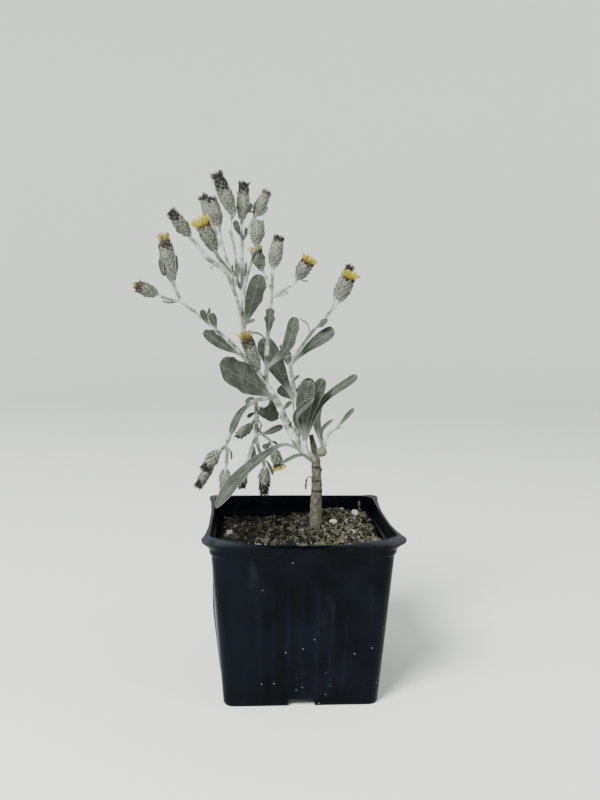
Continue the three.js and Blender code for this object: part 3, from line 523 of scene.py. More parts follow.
materials = dict(
    stemFelt=stemFeltMaterial(),
    leafFelt=leafFeltMaterial(),
    scaleFelt=scaleMaterial(),
    openFlorets=floretMaterial("openFlorets", tint(64, 42, 6), tint(142, 122, 2), tint(180, 168, 4)),
    fadingFlorets=floretMaterial("fadingFlorets", tint(26, 18, 10), tint(88, 74, 12), tint(150, 130, 24)),
    spentFlorets=floretMaterial("spentFlorets", tint(8, 6, 6), tint(15, 12, 11), tint(38, 29, 25)),
    bark=barkMaterial(),
    potPlastic=potMaterial(),
    soil=grainMaterial("soil", tint(3, 3, 2), tint(7, 6, 5), tint(18, 16, 13)),
    crumb=grainMaterial("crumb", tint(5, 5, 4), tint(24, 22, 19), tint(104, 99, 91)),
    moss=grainMaterial("moss", tint(5, 5, 3), tint(19, 19, 14), tint(76, 74, 57), 1.6),
    perlite=grainMaterial("perlite", tint(66, 63, 60), tint(124, 121, 118), tint(172, 169, 168), 0.8),
)
print("materials ready:", len(materials))


# Geometry trees
goldenAngle = 2.39996


def startTree(name, **sizes):
    tree = bpy.data.node_groups.new(name, "GeometryNodeTree")
    tree.interface.new_socket("Geometry", in_out="INPUT", socket_type="NodeSocketGeometry")
    for label, value in sizes.items():
        kind = "NodeSocketInt" if isinstance(value, int) else "NodeSocketFloat"
        tree.interface.new_socket(label, in_out="INPUT", socket_type=kind).default_value = value
    tree.interface.new_socket("Geometry", in_out="OUTPUT", socket_type="NodeSocketGeometry")
    return tree, tree.nodes.new("NodeGroupInput").outputs


def endTree(tree, geometry, material):
    realized = addNode(tree, "GeometryNodeRealizeInstances", {"Geometry": geometry}).outputs[0]
    shaded = addNode(tree, "GeometryNodeSetShadeSmooth", {"Geometry": realized, "Shade Smooth": True})
    painted = addNode(tree, "GeometryNodeSetMaterial", {"Geometry": shaded.outputs[0], "Material": material})
    addNode(tree, "NodeGroupOutput", {0: painted.outputs[0]})
    return tree


def chance(tree, low, high, seed, turns=False):
    # a random number, or three of them, for each point
    kind, first = ("FLOAT_VECTOR", 0) if turns else ("FLOAT", 2)
    inputs = {first: low, first + 1: high, "Seed": seed}
    return addNode(tree, "FunctionNodeRandomValue", inputs, data_type=kind).outputs[0 if turns else 1]


def marked(tree, geometry, name, value, domain="INSTANCE"):
    inputs = {"Geometry": geometry, "Name": name, "Value": value}
    return addNode(
        tree, "GeometryNodeStoreNamedAttribute", inputs, data_type="FLOAT", domain=domain
    ).outputs[0]


def shapeOf(tree, stamp):
    return socketOf(addNode(tree, "GeometryNodeObjectInfo", {"Object": stamp}).outputs, "Geometry")


def picked(tree, seed, stamps):
    # one of several stamps at random for each point
    joinAll = addNode(tree, "GeometryNodeGeometryToInstance")
    for stamp in stamps:
        tree.links.new(shapeOf(tree, stamp), joinAll.inputs[0])
    inputs = {4: 0, 5: len(stamps) - 1, "Seed": seed}
    which = addNode(tree, "FunctionNodeRandomValue", inputs, data_type="INT").outputs[2]
    return joinAll.outputs[0], which


def strewn(tree, given):
    # random points over the faces of the mesh that the tree is given
    inputs = {"Mesh": given["Geometry"], "Density": given["Density"], "Seed": given["Seed"]}
    return addNode(tree, "GeometryNodeDistributePointsOnFaces", inputs, distribute_method="RANDOM").outputs


def spiral(tree, count, seed):
    # each point's share of the way, and the cosine and sine of its turn
    index = addNode(tree, "GeometryNodeInputIndex").outputs[0]
    share = maths(tree, "DIVIDE", plus(tree, index, 0.5), count)
    angle = plus(tree, times(tree, index, goldenAngle), seed)
    return share, maths(tree, "COSINE", angle), maths(tree, "SINE", angle)


def aimedAt(tree, forward, outward, second):
    # the turn that points a stamp's Z forward and its second axis outward
    inputs = {0: forward, 1: outward}
    node = addNode(tree, "FunctionNodeAxesToRotation", inputs, primary_axis="Z", secondary_axis=second)
    return node.outputs[0]


def turnOf(tree, angles):
    return addNode(tree, "FunctionNodeEulerToRotation", {0: angles}).outputs[0]


def rolled(tree, rotation, angles):
    # a turn followed by another about its own axes
    inputs = {"Rotation": rotation, "Rotate By": turnOf(tree, angles)}
    return addNode(tree, "FunctionNodeRotateRotation", inputs, rotation_space="LOCAL").outputs[0]


def placeEach(tree, points, shape, rotation, size, which=None):
    inputs = {"Points": points, "Instance": shape, "Rotation": rotation, "Scale": size}
    if which is not None:
        inputs.update({"Pick Instance": True, "Instance Index": which})
    return addNode(tree, "GeometryNodeInstanceOnPoints", inputs).outputs[0]


def grown(tree, base, **inputs):
    # the mesh that a tree makes on a base mesh
    holder = objectOf("holder", base)
    modifier = holder.modifiers.new("growth", "NODES")
    modifier.node_group = tree
    sockets = {
        item.name: item.identifier for item in tree.interface.items_tree if item.in_out == "INPUT"
    }
    for label, value in inputs.items():
        modifier[sockets[label]] = value
    made = plainMesh(holder)
    bpy.data.objects.remove(holder)
    return made


stamps = []


def stampOf(name, mesh):
    # a small shape that the trees repeat; all of them are removed at the end
    mesh.shade_smooth()
    stamps.append(objectOf(name, mesh))
    return stamps[-1]


# Pot: one thin moulding with a collar, a lip drawn out into ears, ribbed panels and foot notches
pot = dict(
    height=98, bottomHalf=43.5, topHalf=51.3, bottomCorner=6, topCorner=8, wall=1.2, floor=1.6,
    collarHeight=10.6, collarStep=1, lipHeight=2.6, lipReach=1.6, earReach=5.6, earSpread=0.4,
    lipSag=(-0.4, 1, 5.2, 1.6), bow=(1, 2.8, 1, 1.2),
    ribCount=7, ribPitch=8.6, ribHalf=2.5, ribProud=0.85, ribFoot=4, ribMiddleTop=76, ribOuterTop=62,
    notchWidth=15, notchDepth=12, notchHeight=4.5, drainRadius=3.5,
    cornerSteps=9, sideSteps=84, waviness=0.3,
    dents=[
        dict(side=2, across=15, z=79, reach=5, depth=0.8), dict(side=2, across=-8, z=77, reach=8, depth=0.6),
    ],
)
bowLevel = pot["height"] * 0.48
collarLevel = pot["height"] - pot["collarHeight"]


def halfAt(z):
    return blendOf(pot["bottomHalf"], pot["topHalf"], z / pot["height"])


def cornerAt(z):
    return blendOf(pot["bottomCorner"], pot["topCorner"], z / pot["height"])


def bowShare(z):
    if z < bowLevel:
        return max(0, z / bowLevel)
    return max(0, 1 - (z - bowLevel) / (collarLevel - bowLevel))


def ribProudAt(across, z):
    # how far the ribbed panel stands out at a place across a side
    spread = across / (halfAt(z) / pot["topHalf"])
    middle = (pot["ribCount"] - 1) / 2
    place = round(spread / pot["ribPitch"])
    if abs(place) > middle:
        return 0
    top = blendOf(pot["ribMiddleTop"], pot["ribOuterTop"], abs(place / middle) ** 1.6)
    fade = smoothStep(z, pot["ribFoot"] - 1, pot["ribFoot"] + 10) * smoothStep(z, top, top - 8)
    away = abs(spread - place * pot["ribPitch"]) / pot["ribHalf"]
    return pot["ribProud"] * fade * math.cos(min(1, away) * math.pi / 2) ** 1.3


def squareRing(z, out=0.0, ear=0.0, sags=0.0, ribbed=False):
    ring = []
    half, corner = halfAt(z) + out, cornerAt(z) + out
    flat = half - corner
    for side in range(4):
        turn = Matrix.Rotation(side * math.pi / 2, 3, "Z")
        for step in range(pot["cornerSteps"] + 1):
            angle = step / pot["cornerSteps"] * math.pi / 2
            flare = ear * math.sqrt(0.5) * blendOf(pot["earSpread"], 1, math.sin(2 * angle))
            x = flat + corner * math.cos(angle) + flare
            ring.append(turn @ Vector((x, flat + corner * math.sin(angle) + flare, z)))
        for step in range(1, pot["sideSteps"]):
            t = step / pot["sideSteps"]
            swell = 1 - (2 * t - 1) ** 2
            drawn = ear * math.sqrt(0.5) * pot["earSpread"] * max(0, 1 - 3 * min(t, 1 - t)) ** 1.5
            across = flat * (1 - 2 * t) + math.copysign(drawn, 0.5 - t)
            y = half + pot["bow"][side] * bowShare(z) * swell + drawn
            if ribbed:
                y += ribProudAt(across, z)
                wave = noise.noise((across / 28 + 9 * side, z / 24, side))
                y += pot["waviness"] * wave * swell * smoothStep(z, 0, 12)
                for dent in pot["dents"]:
                    away = Vector((across - dent["across"], 1.8 * (z - dent["z"]))).length / dent["reach"]
                    y -= dent["depth"] * math.exp(-away * away) if side == dent["side"] else 0
            ring.append(turn @ Vector((across, y, z - sags * pot["lipSag"][side] * swell)))
    return ring


def hollowRing(z):
    return squareRing(z, (pot["collarStep"] if z > collarLevel else 0) - pot["wall"])


def notchBlocks(grow):
    blocks = []
    for side in range(4):
        reach = pot["notchDepth"] + grow + 5
        halves = (pot["notchWidth"] / 2 + grow, reach / 2, (pot["notchHeight"] + grow + 5) / 2)
        middle = (0, pot["bottomHalf"] - pot["notchDepth"] - grow + reach / 2,
            (pot["notchHeight"] + grow - 5) / 2)
        blocks.append(roundedBlock(halves, middle, 1.2, side * math.pi / 2))
    return joined("blocks", blocks)


def roundedBlock(halves, middle, radius, turn):
    # a block with its four long upright edges rounded, and its top edges softened
    rings = []
    for z, inset in ((-halves[2], 0), (halves[2] - radius * 0.7, 0), (halves[2], radius * 0.7)):
        ring = []
        for quarter in range(4):
            for step in range(5):
                angle = (quarter + step / 4) * math.pi / 2
                sx = 1 if quarter in (0, 3) else -1
                sy = 1 if quarter in (0, 1) else -1
                x = sx * (halves[0] - radius) + (radius - inset) * math.cos(angle)
                y = sy * (halves[1] - radius) + (radius - inset) * math.sin(angle)
                ring.append(Vector((x, y, z)) + Vector(middle))
        rings.append([Matrix.Rotation(turn, 3, "Z") @ point for point in ring])
    return objectOf("block", loftMesh("block", rings))


def drainPegs():
    pegs = []
    for side in range(4):
        middle = Vector((0, pot["bottomHalf"] - pot["notchDepth"] / 2, 0))
        centre = Matrix.Rotation(side * math.pi / 2, 3, "Z") @ middle
        rings = [[centre + point for point in circle(pot["drainRadius"], z, 24)] for z in (-10, 10)]
        pegs.append(objectOf("peg", loftMesh("peg", rings)))
    return joined("pegs", pegs)


def buildPot():
    lipLevel = pot["height"] - pot["lipHeight"]
    step, reach, ear = pot["collarStep"], pot["lipReach"], pot["earReach"]
    wallLevels = [2.5 + (collarLevel - 3) * place / 46 for place in range(47)]
    rings = [squareRing(0, -0.9), squareRing(0.35, -0.35), squareRing(1.2)]
    rings += [squareRing(z, ribbed=True) for z in wallLevels]
    rings += [squareRing(collarLevel + z, out) for z, out in ((0.1, 0.25), (0.6, step * 0.85), (1.2, step))]
    flare = (  # up from the lip's foot, out from the collar, shares of the ears and of the sag
        (-4.6, 0, 0, 0.38), (-3.4, 0, 0.22, 0.56), (-2.2, 0, 0.5, 0.69), (-1, 0, 0.78, 0.83),
        (-0.2, 0.2, 0.93, 0.92), (0.5, reach - step, 1, 1),
    )
    rings += [squareRing(lipLevel + z, step + out, ear * drawn, sag) for z, out, drawn, sag in flare]
    brim = ((0.7, 0.05), (0.2, -0.2), (0, -0.7))
    rings += [squareRing(pot["height"] - z, reach + out, ear, 1) for z, out in brim]
    piece = objectOf("nursery_pot", loftMesh("nursery_pot", rings))
    levels = [pot["floor"], 4, bowLevel, collarLevel - 0.4, collarLevel + 0.6, pot["height"] + 4]
    hollow = objectOf("hollow", loftMesh("hollow", [hollowRing(z) for z in levels]))
    cutWith(hollow, notchBlocks(pot["wall"]))
    cutWith(piece, hollow)
    cutWith(piece, notchBlocks(0))
    cutWith(piece, drainPegs())
    piece.data.shade_smooth()
    piece.data.set_sharp_from_angle(angle=math.radians(38))
    # worn marks the scuffed rim; the rib-crest mask carries the painted highlight along the ribs
    worn, crest = [], []
    for vertex in piece.data.vertices:
        x, y, z = vertex.co / mm
        across = x if abs(y) > abs(x) else y
        crest.append((ribProudAt(across, z) / pot["ribProud"]) ** 4)
        inCorner = blendOf(0.3, 0.9, smoothStep(min(abs(x), abs(y)), 30, 50))
        outer = smoothStep(max(abs(x), abs(y)), halfAt(z) + 0.2, halfAt(z) + 1.3)
        worn.append(smoothStep(z, lipLevel - 2, lipLevel + 0.6) * inCorner * outer)
    setPaint(piece.data, worn=worn, crest=crest)
    piece.data.materials.clear()
    piece.data.materials.append(materials["potPlastic"])
    return fasten(piece, "pot_plastic", "pot")


nurseryPot = buildPot()
print("pot ready:", len(nurseryPot.data.polygons), "faces")


# Soil: a bed piled up round the trunk and the rear right corner, under crumbs, moss and perlite
soil = dict(
    rim=83.5, lump=1.3, clearance=0.35, cells=130, roughness=2.6, margin=3.1,
    mounds=[dict(x=26, y=30, height=7, reach=24), dict(x=11, y=8, height=3, reach=12)],
    bigPerlite=[(30, 40), (38, 33), (22, 13), (32, 1), (-41, 7), (8, -33), (-14, 12), (-24, -20)],
    crumbs=dict(perArea=0.5, smallest=0.7, largest=3.2),
    chunks=dict(perArea=0.035, smallest=2.6, largest=5.6),
    flakes=dict(perArea=0.15, smallest=2.2, largest=6),
    perlite=dict(perArea=0.02, smallest=1, largest=2.2), bigGrain=4.6,
    twig=dict(points=[(41.5, 40, 86), (42, 40, 92), (41.6, 40, 97)], radii=(0.9, 0.6, 0.8)),
)


def soilHeight(x, y):
    piled = soil["rim"]
    for mound in soil["mounds"]:
        away = (x - mound["x"]) ** 2 + (y - mound["y"]) ** 2
        piled += mound["height"] * math.exp(-away / mound["reach"] ** 2)
    crumbs = math.sin(x / 3.1 + 1) * math.sin(y / 2.7) + 0.6 * math.sin(x / 1.7 - y / 2.3)
    return piled + soil["lump"] * 0.5 * crumbs


def buildSoilBed():
    count = soil["cells"]
    inset = pot["wall"] + soil["clearance"]
    half, corner = halfAt(soil["rim"]) - inset, cornerAt(soil["rim"]) - inset
    flat = half - corner
    points = []
    for row in range(count + 1):
        for column in range(count + 1):
            x, y = (2 * column / count - 1) * half, (2 * row / count - 1) * half
            past = Vector((max(0, abs(x) - flat), max(0, abs(y) - flat)))
            if past.length > corner:
                past *= corner / past.length
                x = math.copysign(flat + past.x, x)
                y = math.copysign(flat + past.y, y)
            rough = noise.fractal((x / 3.2, y / 3.2, 0.4), 1, 2.1, 4)
            points.append((x, y, soilHeight(x, y) + soil["roughness"] * rough))
    faces = [
        (at, at + 1, at + count + 2, at + count + 1)
        for row in range(count) for at in range(row * (count + 1), row * (count + 1) + count)
    ]
    edge = list(range(count))
    edge += [row * (count + 1) + count for row in range(count)]
    edge += [count * (count + 1) + column for column in range(count, 0, -1)]
    edge += [row * (count + 1) for row in range(count, 0, -1)]
    low = pot["floor"] + soil["clearance"]
    shrink = (halfAt(low) - inset) / half
    first = len(points)
    points += [(points[at][0] * shrink, points[at][1] * shrink, low) for at in edge]
    for place in range(len(edge)):
        after = (place + 1) % len(edge)
        faces.append((edge[after], edge[place], first + place, first + after))
    faces.append(tuple(range(first + len(edge) - 1, first - 1, -1)))
    bed = objectOf("soil_bed", meshOf("soil_bed", points, faces))
    cutWith(bed, notchBlocks(pot["wall"] + soil["clearance"]))
    bed.data.shade_smooth()
    bed.data.materials.clear()
    bed.data.materials.append(materials["soil"])
    setPaint(bed.data, tone=[0.5] * len(bed.data.vertices))
    return bed


def lumpStamp(name, divisions, uneven, seed, flat=0.75):
    shape = bmesh.new()
    bmesh.ops.create_icosphere(shape, subdivisions=divisions, radius=0.5 * mm)
    for vertex in shape.verts:
        away = noise.noise(vertex.co / mm * 2.3 + Vector((seed, 0, 0)))
        vertex.co *= 1 + uneven * away
        vertex.co.z *= flat
    made = bpy.data.meshes.new(name)
    shape.to_mesh(made)
    shape.free()
    return stampOf(name, made)


def flakeStamp(name, curl, seed):
    # a curled scrap of moss or bark, 1 mm long
    rows, columns, thick = 4, 3, 0.07
    upper, lower = [], []
    for row in range(rows):
        v = row / (rows - 1)
        wide = 0.34 * math.sin(math.pi * blendOf(0.22, 0.86, v))
        for column in range(columns):
            u = 2 * column / (columns - 1) - 1
            z = curl * (v - 0.5) ** 2 + 0.12 * u * u + 0.09 * noise.noise((u * 2, v * 3, seed))
            upper.append(Vector((u * wide, v - 0.5, z + thick)))
            lower.append(Vector((u * wide, v - 0.5, z - thick)))
    rings = [
        upper[row * columns:(row + 1) * columns] + lower[row * columns:(row + 1) * columns][::-1]
        for row in range(rows)
    ]
    return stampOf(name, loftMesh(name, rings))


def scatterTree(name, shapes, material, lean):
    tree, given = startTree(name, Density=1.0, Smallest=1.0, Largest=2.0, Seed=1)
    seed = given["Seed"]
    points = strewn(tree, given)["Points"]
    shape, which = picked(tree, seed, shapes)
    spin = chance(tree, (-lean, -lean, 0.0), (lean, lean, 2 * math.pi), seed, turns=True)
    size = chance(tree, given["Smallest"], given["Largest"], seed)
    placed = placeEach(tree, points, shape, turnOf(tree, spin), size, which)
    return endTree(tree, marked(tree, placed, "tone", chance(tree, 0.0, 1.0, 7)), material)


def buildSoil():
    bed = buildSoilBed()
    upward = bed.data.copy()
    keepTop(upward, soil["rim"] - 3)
    fasten(bed, "soil", "soil")
    chunks = [lumpStamp(f"chunk{n}", 2, 0.75, 10 * n, 0.7) for n in range(3)]
    crumbs = [lumpStamp(f"crumb{n}", 1, 0.6, 3 * n, 0.8) for n in range(3)]
    flakes = [flakeStamp(f"flake{n}", (0.5, 0.9, 0.25)[n], n) for n in range(3)]
    coats = [
        ("soil_crumbs", "crumbs", crumbs, "crumb", 3.1), ("moss_chunks", "chunks", chunks, "moss", 0.6),
        ("moss_flakes", "flakes", flakes, "moss", 0.9), ("perlite_grains", "perlite", chunks, "perlite", 3.1),
    ]
    for seed, (name, key, shapes, material, lean) in enumerate(coats):
        tree = scatterTree(key, shapes, materials[material], lean)
        look = soil[key]
        mesh = grown(tree, upward.copy(), Density=look["perArea"] / mm ** 2, Smallest=float(look["smallest"]),
            Largest=float(look["largest"]), Seed=seed + 3)
        fasten(objectOf(name, mesh), "soil")
        print(name, len(mesh.polygons))
    buildBigGrains()
    twig = tube("dry_twig", **soil["twig"], sides=10, pitch=0.4, lumps=0.7)
    count = len(twig.vertices)
    setPaint(twig, woolly=[0.35] * count, dead=[0.2] * count, mossy=[0.2] * count)
    twig.shade_smooth()
    fasten(objectOf("dry_twig", twig, materials["bark"]), "soil")


def buildBigGrains():
    # the pale grains that stand out on the soil, each one dented its own way
    shape = bmesh.new()
    for order, (x, y) in enumerate(soil["bigPerlite"]):
        size = soil["bigGrain"] * (1 if order < 5 else 0.62)
        place = Vector((x, y, soilHeight(x, y) + size * 0.36))
        made = bmesh.ops.create_icosphere(shape, subdivisions=3, radius=size / 2)
        for vertex in made["verts"]:
            dents = noise.noise(vertex.co * 0.7 + Vector((order * 5, 0, 0)))
            dents += 0.3 * noise.noise(vertex.co * 2.1 + Vector((0, order * 5, 0)))
            vertex.co *= 1 + 0.42 * dents
            vertex.co = (vertex.co + place) * mm
    mesh = bpy.data.meshes.new("perlite_lumps")
    shape.to_mesh(mesh)
    shape.free()
    mesh.shade_smooth()
    setPaint(mesh, tone=[0.6] * len(mesh.vertices))
    fasten(objectOf("perlite_lumps", mesh, materials["perlite"]), "soil")


def keepTop(mesh, level):
    shape = bmesh.new()
    shape.from_mesh(mesh)
    limit = (halfAt(soil["rim"]) - pot["wall"] - soil["margin"]) * mm
    outside = [
        face for face in shape.faces
        if face.calc_center_median().z < level * mm or max(map(abs, face.calc_center_median().xy)) > limit
    ]
    bmesh.ops.delete(shape, geom=outside, context="FACES")
    shape.to_mesh(mesh)
    shape.free()


buildSoil()
print("soil ready")


# Leaves: an arched spoon-shaped blade with a rib, side veins, and a cut or waved margin
blade = dict(edge=0.5, rib=0.95, pitch=0.5, slim=3, ribRidge=0.3, veinCount=7, crinkle=0.16)
wideColumns = (-1, -0.96, -0.86, -0.68, -0.46, -0.24, -0.08, 0, 0.08, 0.24, 0.46, 0.68, 0.86, 0.96, 1)
slimColumns = (-1, -0.9, -0.55, -0.2, 0, 0.2, 0.55, 0.9, 1)


def bladeShare(t, neck, broad, tip):
    if t < broad:
        return neck + (1 - neck) * smoothStep(t, 0.06, broad)
    past = (t - broad) / (1 - broad)
    return math.sqrt(max(0, 1 - past ** (2 + 3 * tip)))


def leafMesh(name, points, width, face, neck=0.2, broad=0.68, tip=0.45, cup=0.12, teeth=(0, 0), wave=0,
        rows=None):
    rows = rows or (8 if width > 6.5 else 4)
    columns = wideColumns if width > blade["slim"] else slimColumns
    centres, ahead = routeThrough(points, blade["pitch"])
    upper = Vector(face).normalized()
    last = len(centres) - 1
    seed = Vector(points[-1]) * 0.37
    rings, marks = [], dict(toRib=[], toMargin=[], upper=[], vein=[], petiole=[])
    for step, (centre, forward) in enumerate(zip(centres, ahead)):
        t = step / last
        side = upper.cross(forward).normalized()
        out = forward.cross(side).normalized()
        half = max(0.42 if t < 0.95 else 0.12, width / 2 * bladeShare(t, neck, broad, tip))
        place = rows * (1 - (1 - t) ** 0.8)
        swing = abs(place % 2 - 1) * 1.5 - 0.5
        toothed = smoothStep(t, 0.42, 0.55) * smoothStep(t, 0.99, 0.93)
        halves = [half + toothed * depth * swing for depth in teeth]
        ripple = wave * math.sin(place * 1.9) * smoothStep(t, 0.3, 0.6)
        stout = (1 + 0.7 * smoothStep(t, 0.3, 0.05)) * blendOf(1, 0.6, smoothStep(t, 0.93, 1))
        petiole = smoothStep(t, 0.34, 0.1)
        faces = {1: [], -1: []}
        for x in columns:
            across = x * halves[0 if x > 0 else 1]
            where = centre + side * across
            above = cup * half * x * x + ripple * x
            above += blade["crinkle"] * noise.noise(where * 0.32 + seed) * min(1, half / 3)
            thick = blendOf(blade["rib"], blade["edge"], abs(x) ** 0.6) / 2 * stout
            thick *= math.sqrt(max(0.05, 1 - abs(x) ** 10))
            ridge = blade["ribRidge"] * math.exp(-(across / 0.45) ** 2) * min(1, half / 2)
            ridge *= smoothStep(t, 1, 0.7)
            slant = (t * blade["veinCount"] - abs(x) * 1.15) % 1
            vein = max(0, 1 - abs(slant - 0.5) * 7) * smoothStep(abs(x), 0.95, 0.6) * smoothStep(t, 0.2, 0.4)
            toMargin = min((1 - abs(x)) * half, (1 - t) * last * blade["pitch"])
            for facing in (1, -1):
                relief = ridge if facing < 0 else -0.35 * ridge
                rise = above + facing * (thick + relief - 0.05 * vein)
                upward = 1 if facing > 0 else 0
                faces[facing].append((where + out * rise, abs(across), toMargin, upward, vein, petiole))
        ring = faces[1][::-1] + faces[-1]
        rings.append([entry[0] for entry in ring])
        for key, column in zip(marks, range(1, 6)):
            marks[key] += [entry[column] for entry in ring]
    mesh = loftMesh(name, rings)
    setPaint(mesh, **marks)
    mesh.shade_smooth()
    return mesh


def limb(*points, radii, head=None):
    return dict(points=points, radii=radii, head=head)


def leaf(*points, **shape):
    return dict(shape, points=points)


# Flower heads: where each sits on its stalk, where its tip is, how far it has opened, and what it shows
# beside its bloom: rust on its tips, green low down, bare middles of scales
heads = dict(
    head_01=dict(base=(-39.5, 4, 273.5), top=(-50.5, 2, 298.5), width=8.4, bloom="spent", dark=0.54,
        bare=1),
    head_02=dict(base=(-35, 10, 271), top=(-34, 12, 295), width=7.4, bloom="spent", bracts=[
        leaf((-32, 9, 276.5), (-29.6, 8, 281.5), width=3, face=(0.4, -0.8, 0.2)),
    ]),
    head_03=dict(base=(-27.5, 17, 274.5), top=(-19.5, 22, 291), width=7.2, bloom="spent", rust=0.5,
        dark=0.86, bracts=[
        leaf((-24, 16, 275.6), (-19.8, 17, 280.5), width=2.4, face=(-0.3, -0.9, 0.3)),
        leaf((-30, 16.5, 277.5), (-30.4, 17, 282), width=1.6, face=(-0.8, -0.6, 0)),
    ]),
    head_04=dict(base=(-48.5, 16, 268), top=(-53.5, 19, 286.5), width=7.4, bloom="spent", dark=0.84),
    head_05=dict(base=(-52, 24.5, 269.5), top=(-59.5, 32, 289), width=6.8, bloom="spent", dark=0.84),
    head_06=dict(base=(-64, -8, 260), top=(-75.5, -12, 274.5), width=7.6, bloom="spent"),
    head_07=dict(base=(-49.5, -6, 252), top=(-59, -12, 270.5), width=9, bloom="open", rust=0.9, green=0.8,
        bare=1),
    head_08=dict(base=(-27, 0, 256), top=(-25.5, 0, 271.5), width=8, bloom="bud", green=0.5, bare=0.5),
    head_09=dict(base=(-23, 8, 242.5), top=(-27.5, 9, 257), width=7, bloom="open"),
    head_10=dict(base=(-17, -2, 243.5), top=(-13.5, 0, 263), width=8.4, bloom="spent", rust=0.5,
        dark=0.86, bare=0.8),
    head_11=dict(base=(-3.5, -9, 237), top=(4, -14, 250), width=8, bloom="open", rust=0.3, bracts=[
        leaf((-1, -12, 236.6), (2.5, -13, 236), width=1.6, face=(0, -0.5, 0.8)),
    ]),
    head_12=dict(base=(21.5, -3, 225), top=(28, -8, 242.5), width=8, bloom="open", rust=0.2, bare=0.7),
    head_13=dict(base=(19.5, 3, 226.5), top=(29.5, 9, 247.5), width=6.4, bloom="spent"),
    head_14=dict(base=(-73, -16, 234), top=(-78, -20, 261), width=8.6, bloom="fading", rust=0.3, tuft=0.8,
        bracts=[
        leaf((-77.5, -19, 238.5), (-79.4, -21, 247), width=4, face=(-0.7, -0.7, 0.1)),
        leaf((-71, -18.5, 240), (-71, -20.5, 249), width=2.6, face=(0.8, -0.6, 0)),
    ]),
    head_15=dict(base=(-81, -18, 227.5), top=(-93.5, -26, 232.5), width=7.4, bloom="fading", rust=0.6,
        bare=0.9, tuft=0.55),
    head_16=dict(base=(-25, -5, 184), top=(-33.5, -12, 207.5), width=8.4, bloom="fading", rust=0.3,
        bare=0.9, dark=0.72),
    head_17=dict(base=(-5.5, 14, 186.5), top=(-10.5, 14, 200), width=5.5, bloom="spent", rust=0.9),
    head_18=dict(base=(-48.5, 14, 134.5), top=(-57.5, 8, 122.5), width=8, bloom="spent", dark=0.8),
    head_19=dict(base=(-52, 20, 126.5), top=(-62, 22, 109), width=6.6, bloom="spent"),
    head_20=dict(base=(-44, 15, 124), top=(-45, 13, 107.5), width=7, bloom="spent", dark=0.9, bare=0.4),
    head_21=dict(base=(-27.5, 24, 150), top=(-37.5, 28, 140.5), width=5.8, bloom="bud", dark=0.7),
    head_22=dict(base=(-20, 24, 123), top=(-20.5, 26, 103.5), width=7.6, bloom="spent", dark=0.5, bare=1),
    head_23=dict(base=(-15, 24, 135), top=(-10.5, 22, 120.5), width=6.8, bloom="open", green=0.3),
    head_24=dict(base=(-33, 14, 124), top=(-34.5, 13, 110.5), width=6, bloom="spent"),
)

